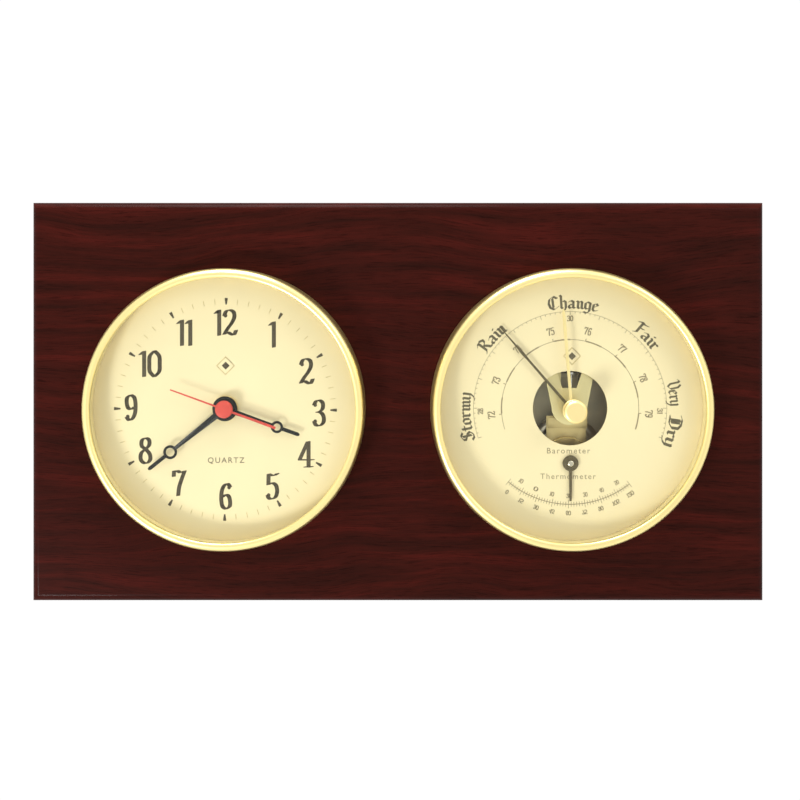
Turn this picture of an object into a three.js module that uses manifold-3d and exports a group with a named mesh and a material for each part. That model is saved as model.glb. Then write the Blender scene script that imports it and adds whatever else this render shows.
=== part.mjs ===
// Wall plaque with a quartz clock and an aneroid barometer with a thermometer.
// A hardwood board has two through bores, and a brass-cased instrument is pushed into each from the front.
//
// Millimetres. +X is right, +Z is up and the dials face -Y. The origin is the middle of the board's back.
// A "depth" is the distance in front of the wall: depth d lies at y = -d. A turn is clockwise seen from the
// front, in degrees from 12 o'clock, and is a rotation about +Y.

import * as THREE from 'three';
import { mergeVertices } from 'three/addons/utils/BufferGeometryUtils.js';
import Module from 'manifold-3d';

const wasm = await Module();
wasm.setup();

// ---------------------------------------------------------------- driving dimensions

const GAP = 0.1; // between faces that rest on each other
const FIT = 0.1; // radial, between a pin and a piece pressed on it
const RUNNING = 0.15; // radial, between a pivot and its hole
const PAST = 1; // how far a cutting tool runs past the face it cuts

const BOARD = { width: 279.4, height: 152.4, thickness: 19, edge: 3.5, edgeSteps: 3, bore: 49 };
const INSERT = { x: 65.2, z: -2 };

const HANGER = { z: 50, width: 16, height: 38, thickness: 1.2, corner: 3 };
const KEYHOLE = { below: 5, hole: 4.6, slot: 2.5, above: 7, pocket: 5.5, pocketDepth: 6 };
const HANGER_SCREW = { offset: 15.5, head: 2.9, rim: 0.3, shank: 1.5, length: 12, slot: 0.8 };

const CASE = { radius: 47.2, wall: 0.8, back: 0.8, corner: 1.5, flange: 50.6, opening: 41 };
const GRIP = { radius: 48.85, from: 11, to: 16 };
const DIAL = { radius: 50.4, thickness: 0.6 };
const GLASS = { radius: 50.75, back: 25.4, thickness: 1.8 };
const BEZEL = { outer: 52.9, inner: 49.4, seat: 50.9, crest: 50.6, top: 28.5, shoulder: 25, lip: 0.3 };
const SPACER_INNER = 49.6;

const LARGE = 32; // segments round the inserts
const MEDIUM = 18; // segments round bosses, pipes and knobs
const SMALL = 8; // segments round pins
const SPIRAL_STEPS = 14; // steps in each turn of a spiral spring

const SHELL = { half: 28, wall: 1.5, rim: 4.8, front: 19.8, divider: -9.4 };
const BOSS = { radius: 3.9, bore: 2.65, end: 22 };
const NUT = { radius: 4.7, thickness: 1.1, slot: 1.2 };
const BATTERY = { radius: 7.1, length: 49.2, nub: 1.3, nubRadius: 2.7, z: -18.7, depth: 11.1 };
const TRAIN_PLATE = { half: 25.5, bottom: -8.6, top: 25, back: 12.2, thickness: 0.55 };

// Teeth and modules. Minute arbor to second arbor is 60 : 1, and minute arbor to hour pipe is 1 : 12.
const PINION = 6;
const CENTRE_TEETH = 48;
const THIRD_TEETH = 45;
const SECOND_TEETH = 36;
const INTERMEDIATE_TEETH = 30;
const CANNON_TEETH = 10;
const MINUTE_TEETH = 30;
const MINUTE_PINION = 8;
const HOUR_TEETH = 32;
const SETTING_TEETH = 12;
const MOTION_MODULE = 0.4;
const FAST_MODULE = 0.36;
const THIRD_DISTANCE = 8.84;

const THIRD_DIRECTION = 180; // degrees from +X towards +Z
const MINUTE_DIRECTION = 60;
const INTERMEDIATE_DIRECTION = 135;
const ROTOR_DIRECTION = 100;

// Depth of each clock piece on the centre line, back face then front face.
const HOUR_HAND = { back: 22.3, front: 22.6, turn: 109.3, hub: 4.7, length: 29.8, ring: 20.8 };
const MINUTE_HAND = { back: 23.2, front: 23.5, turn: 231.5, hub: 4.2, length: 36.5, ring: 26 };
const SECOND_HAND = { back: 24.1, front: 24.3, turn: 290, cap: 3.5, length: 21.5, tail: 20.5 };

const WINDOW = 14.1;
const PRESSURE_HAND = { back: 21.7, front: 22.1, turn: -41, length: 41, hub: 2.2 };
const SET_HAND = { back: 23.6, front: 24, turn: -4.7, length: 38, hub: 2.6 };
const KNOB = { radius: 4.2, back: 27.5, front: 33, shaft: 1.5 };
const THERMOMETER = { z: -20.7, length: 14.3, hub: 3, back: 21.3, front: 21.6 };

const BASE = {
  back: 2,
  front: 3.5,
  outline: [[-24, 25], [-24, -30], [-15, -41], [15, -41], [24, -30], [24, 25]],
};
const ADJUSTER = { back: 0.9, front: 4.6, head: 2.2, headFront: 1.9, radius: 1.3, slot: 0.7, cut: 0.5 };
const CAPSULE = { z: -20, radius: 15.5, back: 5.3, front: 10.3 };
const LEAF = { half: 7.75, bottom: -40, top: -4, back: 11.7, front: 12.3 };
const LEVER = { x: 6.5, width: 3, back: 12.4, front: 13.2 };
const LINK = { radius: 0.3, back: 8.3, head: 0.8, headBack: 13.3, headFront: 13.7 };
const ROCKER = { z: 13, depth: 9.5, radius: 0.8, half: 15.4, arm: 7.5, shortArm: 3.8 };
const DRUM = { radius: 0.8, back: 16.3, front: 17.7 };
const CHAIN = { x: 1.1, thickness: 0.4 };
const BRIDGE = { back: 18.2, front: 19.2, postX: 9, postZ: 21, post: 2.2 };
const LOWER_BRIDGE = { back: 14, front: 14.8, left: -6, armRight: -2.5, foot: 2.5 };

// ---------------------------------------------------------------- finishes

const FINISHES = {
  mahogany: [0x3f1914, 0.42, 0],
  polished_brass: [0xe9c96f, 0.16, 1],
  brushed_brass: [0xd9c07c, 0.34, 1],
  aged_brass: [0xa98f4c, 0.42, 1],
  glass: [0xf4f8f8, 0.03, 0],
  cream_dial: [0xfbefc0, 0.55, 0],
  cream_ring: [0xe9d99c, 0.5, 0],
  black_hand: [0x1c1a14, 0.4, 0.2],
  red_hand: [0xc85549, 0.45, 0],
  dark_steel: [0x57544b, 0.42, 1],
  bright_steel: [0xb9b8b2, 0.3, 1],
  silvered: [0xc9c4b0, 0.35, 1],
  blue_steel: [0x2f3c5c, 0.3, 1],
  copper_wire: [0xb4622e, 0.35, 1],
  black_plastic: [0x1b1b1c, 0.5, 0],
  white_plastic: [0xe4e1d8, 0.45, 0],
  black_rubber: [0x161616, 0.8, 0],
  green_board: [0x1f5a35, 0.5, 0],
  cell_jacket: [0x3d4f63, 0.35, 0.4],
};

// ---------------------------------------------------------------- shapes

const radians = THREE.MathUtils.degToRad;

function polar(radius, degrees) {
  const angle = radians(degrees);
  return [radius * Math.cos(angle), radius * Math.sin(angle)];
}

// A closed body as a manifold, with its faces turned outwards.
function solid(geometry) {
  const bare = geometry.clone();
  bare.deleteAttribute('normal');
  bare.deleteAttribute('uv');
  const merged = mergeVertices(bare, 1e-4);
  const points = merged.attributes.position.array;
  const source = merged.index.array;
  const faces = [];
  let volume = 0;
  for (let i = 0; i < source.length; i += 3) {
    const [a, b, c] = [source[i], source[i + 1], source[i + 2]];
    if (a === b || b === c || c === a) continue;
    faces.push([a, b, c]);
    const [p, q, r] = [a, b, c].map((k) => new THREE.Vector3().fromArray(points, 3 * k));
    volume += p.dot(q.cross(r));
  }
  const turned = volume < 0 ? faces.map(([a, b, c]) => [a, c, b]) : faces;
  return new wasm.Manifold(new wasm.Mesh({
    numProp: 3,
    vertProperties: new Float32Array(points),
    triVerts: new Uint32Array(turned.flat()),
  }));
}

function geometryOf(body) {
  const mesh = body.getMesh();
  const geometry = new THREE.BufferGeometry();
  geometry.setAttribute('position', new THREE.BufferAttribute(mesh.vertProperties, mesh.numProp));
  geometry.setIndex(new THREE.BufferAttribute(mesh.triVerts, 1));
  return geometry;
}

const joined = (...bodies) => bodies.reduce((whole, body) => whole.add(body));
const cut = (body, ...tools) => tools.reduce((rest, tool) => rest.subtract(tool), body);

// Turned about an axis along Y through (x, z). The profile is a list of [radius, depth].
function turned(profile, segments, x = 0, z = 0) {
  const points = profile.map(([radius, depth]) => new THREE.Vector2(radius, -depth));
  const onAxis = profile[0][0] === 0;
  if (!onAxis) points.push(points[0].clone());
  return solid(new THREE.LatheGeometry(points, segments).translate(x, 0, z));
}

const rod = (radius, back, front, segments = MEDIUM, x = 0, z = 0) =>
  turned([[0, back], [radius, back], [radius, front], [0, front]], segments, x, z);

const pipe = (inner, outer, back, front, segments = MEDIUM, x = 0, z = 0) =>
  turned([[inner, back], [outer, back], [outer, front], [inner, front]], segments, x, z);

function block(x0, x1, back, front, z0, z1) {
  const box = new THREE.BoxGeometry(x1 - x0, front - back, z1 - z0);
  return solid(box.translate((x0 + x1) / 2, -(back + front) / 2, (z0 + z1) / 2));
}

// A flat plate from an outline in the XZ plane.
function plate(shape, back, front) {
  const options = { depth: front - back, bevelEnabled: false, curveSegments: 4 };
  const extruded = new THREE.ExtrudeGeometry(shape, options);
  return solid(extruded.rotateX(Math.PI / 2).translate(0, -back, 0));
}

const outline = (points) => new THREE.Shape(points.map(([x, z]) => new THREE.Vector2(x, z)));

// A cylinder along X.
function crossRod(radius, x0, x1, depth, z, segments = SMALL) {
  const rodAlongX = new THREE.CylinderGeometry(radius, radius, x1 - x0, segments).rotateZ(Math.PI / 2);
  return solid(rodAlongX.translate((x0 + x1) / 2, -depth, z));
}

// A rectangle with round corners.
function roundedRectangle(width, height, corner) {
  const [x, z] = [width / 2, height / 2];
  const shape = new THREE.Shape();
  shape.moveTo(corner - x, -z);
  shape.absarc(x - corner, corner - z, corner, -Math.PI / 2, 0);
  shape.absarc(x - corner, z - corner, corner, 0, Math.PI / 2);
  shape.absarc(corner - x, z - corner, corner, Math.PI / 2, Math.PI);
  shape.absarc(corner - x, corner - z, corner, Math.PI, Math.PI * 1.5);
  return shape;
}

// Points on an arc of an ellipse, from one angle to another, both in degrees.
function arcPoints(cx, cy, rx, ry, from, to, steps) {
  return Array.from({ length: steps + 1 }, (_, i) => {
    const angle = radians(from + ((to - from) * i) / steps);
    return [cx + rx * Math.cos(angle), cy + ry * Math.sin(angle)];
  });
}

// A flat strip wound in a spiral about (x, z).
function spiral(inner, outer, turns, strip, back, front, x = 0, z = 0) {
  const steps = Math.round(turns * SPIRAL_STEPS);
  const outside = [];
  const inside = [];
  for (let i = 0; i <= steps; i += 1) {
    const angle = (i / SPIRAL_STEPS) * 2 * Math.PI;
    const radius = inner + ((outer - inner) * i) / steps;
    const [c, s] = [Math.cos(angle), Math.sin(angle)];
    outside.push([x + (radius + strip / 2) * c, z + (radius + strip / 2) * s]);
    inside.unshift([x + (radius - strip / 2) * c, z + (radius - strip / 2) * s]);
  }
  return plate(outline([...outside, ...inside]), back, front);
}

// ---------------------------------------------------------------- the tree

const plaque = new THREE.Group();
const clock = new THREE.Group();
const barometer = new THREE.Group();
clock.position.set(-INSERT.x, 0, INSERT.z);
barometer.position.set(INSERT.x, 0, INSERT.z);
plaque.add(clock, barometer);

function piece(group, name, body, finish, turn = 0) {
  const [color, roughness, metalness] = FINISHES[finish];
  const material = new THREE.MeshStandardMaterial({ color, roughness, metalness });
  const mesh = new THREE.Mesh(geometryOf(body), material);
  mesh.name = name;
  mesh.rotation.y = radians(turn);
  group.add(mesh);
  return mesh;
}

// ---------------------------------------------------------------- board and hanger

// A screw countersunk into the plate; a clearance of 0 gives the screw itself.
function hangerScrewForm(offset, clearance = 0) {
  const { head, shank, length, rim } = HANGER_SCREW;
  return turned([
    [0, GAP - clearance],
    [head + clearance, GAP - clearance],
    [head + clearance, GAP + rim],
    [shank + clearance, GAP + HANGER.thickness],
    [shank + clearance, length - 1],
    [0, length + clearance],
  ], SMALL, 0, HANGER.z + offset);
}

function keyholeTool(hole, slot, above, back, front) {
  const z = HANGER.z - KEYHOLE.below;
  const slotTop = HANGER.z + above;
  return joined(
    rod(hole, back, front, MEDIUM, 0, z),
    rod(slot, back, front, MEDIUM, 0, slotTop),
    block(-slot, slot, back, front, z, slotTop),
  );
}

function makeBoard() {
  const { width, height, thickness, edge, edgeSteps, bore } = BOARD;
  const rough = new THREE.ExtrudeGeometry(outline([
    [edge - width / 2, edge - height / 2],
    [width / 2 - edge, edge - height / 2],
    [width / 2 - edge, height / 2 - edge],
    [edge - width / 2, height / 2 - edge],
  ]), { depth: thickness, bevelThickness: edge, bevelSize: edge, bevelSegments: edgeSteps });
  const blank = solid(rough.rotateX(Math.PI / 2).translate(0, edge, 0));
  const keep = block(-width, width, 0, thickness, -height, height);
  const recess = plate(roundedRectangle(HANGER.width + 0.4, HANGER.height + 0.4, HANGER.corner), -1,
    HANGER.thickness + 2 * GAP).translate([0, 0, HANGER.z]);
  const pocket = keyholeTool(KEYHOLE.pocket, KEYHOLE.pocket, KEYHOLE.above, -1, KEYHOLE.pocketDepth);
  return cut(
    blank.intersect(keep),
    rod(bore, -PAST, thickness + PAST, LARGE, -INSERT.x, INSERT.z),
    rod(bore, -PAST, thickness + PAST, LARGE, INSERT.x, INSERT.z),
    recess,
    pocket,
    hangerScrewForm(-HANGER_SCREW.offset, GAP),
    hangerScrewForm(HANGER_SCREW.offset, GAP),
  );
}

function makeHangerPlate() {
  const outlineShape = roundedRectangle(HANGER.width, HANGER.height, HANGER.corner);
  const blank = plate(outlineShape, GAP, GAP + HANGER.thickness).translate([0, 0, HANGER.z]);
  return cut(
    blank,
    keyholeTool(KEYHOLE.hole, KEYHOLE.slot, KEYHOLE.above, -1, 2 * HANGER.thickness),
    hangerScrewForm(-HANGER_SCREW.offset, GAP),
    hangerScrewForm(HANGER_SCREW.offset, GAP),
  );
}

piece(plaque, 'board', makeBoard(), 'mahogany');
piece(plaque, 'hanger_plate', makeHangerPlate(), 'aged_brass');
for (const [place, offset] of [['bottom', -HANGER_SCREW.offset], ['top', HANGER_SCREW.offset]]) {
  const { head, slot } = HANGER_SCREW;
  const z = HANGER.z + offset;
  const screw = cut(hangerScrewForm(offset), block(-head, head, -1, 0.5, z - slot / 2, z + slot / 2));
  piece(plaque, `hanger_screw_${place}`, screw, 'aged_brass');
}

// ---------------------------------------------------------------- shells shared by both inserts

function makeBezel() {
  const { outer, inner, seat, crest, top, shoulder, lip } = BEZEL;
  const under = GLASS.back + GLASS.thickness + GAP;
  const back = BOARD.thickness + GAP;
  return turned([
    [seat, back],
    [outer, back],
    ...arcPoints(crest, shoulder, outer - crest, top - shoulder, 0, 90, 3),
    ...arcPoints(crest, under + lip, crest - inner, top - under - lip, 120, 180, 2),
    [inner, under],
    [seat, under],
  ], LARGE);
}

function caseProfile(openBack) {
  const { radius, wall, back, corner, flange, opening } = CASE;
  const inner = radius - wall;
  const flangeBack = BOARD.thickness + GAP;
  const centre = openBack ? opening : 0;
  return [
    [centre, back],
    [radius - corner, back],
    [radius, back + corner],
    [radius, flangeBack],
    [flange, flangeBack],
    [flange, flangeBack + wall],
    [inner, flangeBack + wall],
    [inner, back + wall + corner],
    [inner - corner, back + wall],
    [centre, back + wall],
  ];
}

const DIAL_BACK = BOARD.thickness + GAP + CASE.wall + GAP;
const DIAL_FRONT = DIAL_BACK + DIAL.thickness;

function addShells(group, prefix, caseBody, dialBody, glassBody) {
  piece(group, `${prefix}_bezel`, makeBezel(), 'polished_brass');
  piece(group, `${prefix}_glass`, glassBody, 'glass');
  const spacer = pipe(SPACER_INNER, GLASS.radius, DIAL_FRONT + GAP, GLASS.back - GAP, LARGE);
  piece(group, `${prefix}_spacer`, spacer, 'cream_ring');
  piece(group, `${prefix}_dial`, dialBody, 'cream_dial');
  piece(group, `${prefix}_case`, caseBody, 'brushed_brass');
  const grip = pipe(CASE.radius + GAP, GRIP.radius, GRIP.from, GRIP.to, LARGE);
  piece(group, `${prefix}_grip_ring`, grip, 'black_rubber');
}

const glassFront = GLASS.back + GLASS.thickness;
const dialDisc = rod(DIAL.radius, DIAL_BACK, DIAL_FRONT, LARGE);

// ---------------------------------------------------------------- wheels

// A toothed wheel with pointed gaps between narrow teeth. The phase is the direction of one tooth.
function wheel(teeth, module, phase, back, front, bore = 0) {
  const pitchRadius = (teeth * module) / 2;
  const root = pitchRadius - 1.3 * module;
  const tip = pitchRadius + 0.6 * module;
  const pitch = 360 / teeth;
  const points = [];
  for (let tooth = 0; tooth < teeth; tooth += 1) {
    const centre = phase + tooth * pitch;
    points.push(polar(tip, centre - 0.06 * pitch));
    points.push(polar(tip, centre + 0.06 * pitch));
    points.push(polar(root, centre + 0.5 * pitch));
  }
  const blank = plate(outline(points), back, front);
  return bore ? cut(blank, rod(bore, back - PAST, front + PAST)) : blank;
}

// The phase of a wheel in mesh with another one, which lies in the given direction from that other one.
const meshedPhase = (phase, teeth, otherTeeth, direction) =>
  direction + 180 - ((phase - direction) * teeth) / otherTeeth + 180 / otherTeeth;

const thirdAt = polar(THIRD_DISTANCE, THIRD_DIRECTION);
const minuteDistance = (MOTION_MODULE * (CANNON_TEETH + MINUTE_TEETH)) / 2;
const minuteAt = polar(minuteDistance, MINUTE_DIRECTION);
const settingDistance = (MOTION_MODULE * (SETTING_TEETH + MINUTE_TEETH)) / 2;
const settingStep = polar(settingDistance, MINUTE_DIRECTION);
const settingAt = [minuteAt[0] + settingStep[0], minuteAt[1] + settingStep[1]];
const intermediateAt = polar((FAST_MODULE * (SECOND_TEETH + PINION)) / 2, INTERMEDIATE_DIRECTION);
const rotorStep = polar((FAST_MODULE * (INTERMEDIATE_TEETH + PINION)) / 2, ROTOR_DIRECTION);
const rotorAt = [intermediateAt[0] + rotorStep[0], intermediateAt[1] + rotorStep[1]];

// Depth of each wheel's back and front, and of the end of its pinion.
const CENTRE_WHEEL = { back: 14.9, front: 15.5, pinion: 16.9 };
const THIRD_WHEEL = { back: 13, front: 13.6, pinion: 15.8 };
const SECOND_WHEEL = { back: 11.3, front: 11.9, pinion: 13.9 };
const FAST_WHEEL = { back: 9.6, front: 10.2, pinion: 12.1 };
const ROTOR = { back: 6.9, front: 8.9, pinion: 10.5, radius: 3 };
const MINUTE_WHEEL = { back: 16, front: 16.8, pinion: 18 };
const HOUR_WHEEL = { back: 17.2, front: 18 };
const SETTING = { back: 15.9, front: 16.9, knob: 6, knobBack: 0.9, knobFront: 2.9 };

const ARBOR = 0.45;
const SECOND_ARBOR = 0.5;
const CENTRE_PIPE = 1.45;
const HOUR_PIPE = 2.5;
const MINUTE_POST = 0.55;
const SETTING_ARBOR = 1;
const PIVOT_DEPTH = 0.8;
const FLOOR = SHELL.front - SHELL.wall;
const COVER = { back: SHELL.rim - GAP - 1.5, front: SHELL.rim - GAP };

function addTrain() {
  const fastModule = (2 * THIRD_DISTANCE) / (PINION + THIRD_TEETH);
  const slowModule = (2 * THIRD_DISTANCE) / (PINION + CENTRE_TEETH);
  const rearPivot = COVER.front - PIVOT_DEPTH + GAP;
  const frontPivot = FLOOR + PIVOT_DEPTH - GAP;
  const platePivot = TRAIN_PLATE.back + TRAIN_PLATE.thickness - GAP;
  const cannonPhase = MINUTE_DIRECTION + 180 / CANNON_TEETH;

  piece(clock, 'centre_wheel', cut(
    joined(
      wheel(CENTRE_TEETH, slowModule, THIRD_DIRECTION, CENTRE_WHEEL.back, CENTRE_WHEEL.front),
      wheel(CANNON_TEETH, MOTION_MODULE, cannonPhase, CENTRE_WHEEL.front, CENTRE_WHEEL.pinion),
      rod(CENTRE_PIPE, CENTRE_WHEEL.back, MINUTE_HAND.front + GAP),
    ),
    rod(SECOND_ARBOR + RUNNING, CENTRE_WHEEL.back - PAST, SECOND_HAND.front),
  ), 'brushed_brass');

  const thirdPinionPhase = meshedPhase(THIRD_DIRECTION, CENTRE_TEETH, PINION, THIRD_DIRECTION);
  place(piece(clock, 'third_wheel', joined(
    wheel(THIRD_TEETH, fastModule, THIRD_DIRECTION + 180, THIRD_WHEEL.back, THIRD_WHEEL.front),
    wheel(PINION, slowModule, thirdPinionPhase, THIRD_WHEEL.front, THIRD_WHEEL.pinion),
    rod(ARBOR, TRAIN_PLATE.back + 2 * GAP, frontPivot, SMALL),
  ), 'white_plastic'), thirdAt);

  const secondPinionPhase = meshedPhase(THIRD_DIRECTION + 180, THIRD_TEETH, PINION, THIRD_DIRECTION + 180);
  piece(clock, 'second_wheel', joined(
    wheel(SECOND_TEETH, FAST_MODULE, INTERMEDIATE_DIRECTION, SECOND_WHEEL.back, SECOND_WHEEL.front),
    wheel(PINION, fastModule, secondPinionPhase, SECOND_WHEEL.front, SECOND_WHEEL.pinion),
    rod(SECOND_ARBOR, rearPivot, SECOND_HAND.front + 0.5, SMALL),
  ), 'white_plastic');

  const intermediatePinionPhase =
    meshedPhase(INTERMEDIATE_DIRECTION, SECOND_TEETH, PINION, INTERMEDIATE_DIRECTION);
  place(piece(clock, 'intermediate_wheel', joined(
    wheel(INTERMEDIATE_TEETH, FAST_MODULE, ROTOR_DIRECTION, FAST_WHEEL.back, FAST_WHEEL.front),
    wheel(PINION, FAST_MODULE, intermediatePinionPhase, FAST_WHEEL.front, FAST_WHEEL.pinion),
    rod(ARBOR, rearPivot, platePivot, SMALL),
  ), 'white_plastic'), intermediateAt);

  const rotorPinionPhase = meshedPhase(ROTOR_DIRECTION, INTERMEDIATE_TEETH, PINION, ROTOR_DIRECTION);
  place(piece(clock, 'rotor', joined(
    rod(ROTOR.radius, ROTOR.back, ROTOR.front),
    wheel(PINION, FAST_MODULE, rotorPinionPhase, ROTOR.front, ROTOR.pinion),
    rod(ARBOR, rearPivot, platePivot, SMALL),
  ), 'dark_steel'), rotorAt);

  const minuteWheelPhase = meshedPhase(cannonPhase, CANNON_TEETH, MINUTE_TEETH, MINUTE_DIRECTION);
  place(piece(clock, 'minute_wheel', cut(
    joined(
      wheel(MINUTE_TEETH, MOTION_MODULE, minuteWheelPhase, MINUTE_WHEEL.back, MINUTE_WHEEL.front),
      wheel(MINUTE_PINION, MOTION_MODULE, MINUTE_DIRECTION + 180, MINUTE_WHEEL.front, MINUTE_WHEEL.pinion),
    ),
    rod(MINUTE_POST + RUNNING, MINUTE_WHEEL.back - PAST, MINUTE_WHEEL.pinion + PAST, SMALL),
  ), 'white_plastic'), minuteAt);

  const hourPhase = meshedPhase(MINUTE_DIRECTION + 180, MINUTE_PINION, HOUR_TEETH, MINUTE_DIRECTION + 180);
  piece(clock, 'hour_wheel', cut(
    joined(
      wheel(HOUR_TEETH, MOTION_MODULE, hourPhase, HOUR_WHEEL.back, HOUR_WHEEL.front),
      rod(HOUR_PIPE, HOUR_WHEEL.back, HOUR_HAND.front + GAP),
    ),
    rod(CENTRE_PIPE + RUNNING, HOUR_WHEEL.back - PAST, MINUTE_HAND.front),
  ), 'white_plastic');

  const settingPhase = meshedPhase(minuteWheelPhase, MINUTE_TEETH, SETTING_TEETH, MINUTE_DIRECTION);
  place(piece(clock, 'setting_knob', joined(
    rod(SETTING.knob, SETTING.knobBack, SETTING.knobFront),
    rod(SETTING_ARBOR, SETTING.knobFront, frontPivot, SMALL),
    wheel(SETTING_TEETH, MOTION_MODULE, settingPhase, SETTING.back, SETTING.front),
  ), 'white_plastic'), settingAt);
}

function place(mesh, [x, z]) {
  mesh.position.set(x, 0, z);
}

// ---------------------------------------------------------------- clock movement

const POST = { x: 23.5, low: -6.4, high: 22.6, radius: 2 };

function makeFrontShell() {
  const { half, wall, rim, front, divider } = SHELL;
  const hollow = (z0, z1) => block(wall - half, half - wall, rim - 1, FLOOR, z0, z1);
  const tray = cut(
    block(-half, half, rim, front, -half, half),
    hollow(divider, half - wall),
    hollow(wall - half, divider - wall),
  );
  const posts = [-POST.x, POST.x].flatMap((x) => [POST.low, POST.high].map((z) =>
    rod(POST.radius, TRAIN_PLATE.back + TRAIN_PLATE.thickness + GAP, FLOOR + 0.5, SMALL, x, z)));
  const pivotHole = ([x, z], radius) => rod(radius, FLOOR - 1, FLOOR + PIVOT_DEPTH, SMALL, x, z);
  return cut(
    joined(
      tray,
      ...posts,
      rod(BOSS.radius, front - 0.5, BOSS.end),
      rod(MINUTE_POST, 15.8, FLOOR + 0.5, SMALL, ...minuteAt),
    ),
    rod(BOSS.bore, FLOOR - 1, BOSS.end + 1),
    pivotHole(thirdAt, ARBOR + RUNNING),
    pivotHole(settingAt, SETTING_ARBOR + RUNNING),
  );
}

function makeTrainPlate() {
  const { half, bottom, top, back, thickness } = TRAIN_PLATE;
  const hole = (radius, [x, z]) => rod(radius, back - PAST, back + thickness + PAST, SMALL, x, z);
  return cut(
    block(-half, half, back, back + thickness, bottom, top),
    hole(1.8, [0, 0]),
    hole(ARBOR + RUNNING, thirdAt),
    hole(ARBOR + RUNNING, intermediateAt),
    hole(ARBOR + RUNNING, rotorAt),
    hole(SETTING_ARBOR + 0.3, settingAt),
  );
}

const STATOR = { left: -21, right: 5, bottom: 6.5, top: 22, back: 7.4, front: 8.4, side: 3.5 };
const COIL = { radius: 3, wound: 2.6, flange: 0.8, z: 21, depth: 7.9 };
const CIRCUIT = { left: 12, right: 25, bottom: -6, top: 20, back: 7.4, front: 8.2 };

function makeCover() {
  const { half, divider, wall } = SHELL;
  const pivotHole = ([x, z], radius) =>
    rod(radius, COVER.front - PIVOT_DEPTH, COVER.front + 1, SMALL, x, z);
  const peg = (x, z) => rod(1.2, COVER.front - 0.5, CIRCUIT.back - GAP, SMALL, x, z);
  return cut(
    joined(
      block(-half, half, COVER.back, COVER.front, divider - wall, half),
      peg(CIRCUIT.left + 1.8, CIRCUIT.bottom + 1.8),
      peg(CIRCUIT.right - 1.8, CIRCUIT.top - 1.8),
      peg(STATOR.left + 1.8, STATOR.bottom + 1.8),
      peg(STATOR.right - 1.8, STATOR.bottom + 1.8),
    ),
    pivotHole([0, 0], SECOND_ARBOR + RUNNING),
    pivotHole(intermediateAt, ARBOR + RUNNING),
    pivotHole(rotorAt, ARBOR + RUNNING),
    rod(SETTING_ARBOR + 0.3, 1, SHELL.rim + 1, SMALL, ...settingAt),
  );
}

function makeStator() {
  const { left, right, bottom, top, back, front, side } = STATOR;
  return cut(
    block(left, right, back, front, bottom, top),
    block(left + side, right - side, back - PAST, front + PAST, 17, 20),
    rod(3.6, back - PAST, front + PAST, MEDIUM, ...rotorAt),
  );
}

function makeCoil() {
  const { radius, wound, flange, z, depth } = COIL;
  const left = STATOR.left + STATOR.side + 0.3;
  const right = STATOR.right - STATOR.side - 0.3;
  return cut(
    joined(
      crossRod(wound, left, right, depth, z, 18),
      crossRod(radius, left, left + flange, depth, z, 18),
      crossRod(radius, right - flange, right, depth, z, 18),
    ),
    block(left - 1, right + 1, depth - 0.65, depth + 0.65, z - 1.15, z + 1.15),
  );
}

function makeCircuitBoard() {
  const { left, right, bottom, top, back, front } = CIRCUIT;
  return joined(
    block(left, right, back, front, bottom, top),
    block(16, 21, back - 1, back + 0.2, 3, 8),
    block(15, 17.5, back - 1.6, back + 0.2, 11, 17),
  );
}

function makeBattery() {
  const { radius, length, nub, nubRadius, z, depth } = BATTERY;
  const half = (length + nub) / 2;
  return joined(
    crossRod(radius, -half, half - nub, depth, z, 28),
    crossRod(nubRadius, half - nub - 0.5, half, depth, z, 16),
  );
}

function addContacts() {
  const end = (BATTERY.length + BATTERY.nub) / 2;
  const strip = { back: 5.4, front: 17.4, low: -23.5, high: -14, thickness: 0.4 };
  const blade = (x0, x1) => joined(
    block(x0, x0 + strip.thickness, strip.back, strip.front, strip.low, strip.high),
    block(Math.min(x0, x1), Math.max(x0 + strip.thickness, x1), strip.back, strip.back + strip.thickness,
      strip.low, strip.high),
  );
  piece(clock, 'battery_contact_plus', blade(end + 0.2, end + 1.1), 'bright_steel');
  const cone = { length: 0.6, base: 3.2, tip: 1.6 };
  const springCone = new THREE.CylinderGeometry(cone.tip, cone.base, cone.length, 16).rotateZ(-Math.PI / 2);
  const minusAt = -end - 0.9;
  const coneAt = minusAt + strip.thickness + cone.length / 2 - 0.2;
  piece(clock, 'battery_contact_minus', joined(
    blade(minusAt, minusAt - 0.25),
    solid(springCone.translate(coneAt, -BATTERY.depth, BATTERY.z)),
  ), 'bright_steel');
}

// ---------------------------------------------------------------- hands

const HAND_BLADE = { root: 0.95, neck: 0.7, tip: 0.35, taper: 0.8, overlap: 0.2 };
const SECOND_BLADE = { tail: 0.45, tip: 0.25, edge: 0.3, rim: 0.8, cap: 0.9, slope: 0.6 };

// A clock hand that points up: a hub, a tapered blade, an open ring and a narrow tip bar.
function clockHand({ back, front, hub, length, ring }, bore, ringOuter, ringInner) {
  const { root, neck, tip, taper, overlap } = HAND_BLADE;
  const bladeEnd = ring - ringOuter + overlap;
  const tipStart = ring + ringOuter - overlap;
  const blade = outline([[-root, 0], [root, 0], [neck, bladeEnd], [-neck, bladeEnd]]);
  const bar = outline([
    [-neck, tipStart],
    [neck, tipStart],
    [neck, length - taper],
    [tip, length],
    [-tip, length],
    [-neck, length - taper],
  ]);
  return cut(
    joined(
      rod(hub, back, front),
      plate(blade, back, front),
      rod(ringOuter, back, front, MEDIUM, 0, ring),
      plate(bar, back, front),
    ),
    rod(ringInner, back - PAST, front + PAST, MEDIUM, 0, ring),
    rod(bore, back - PAST, front + PAST),
  );
}

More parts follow.
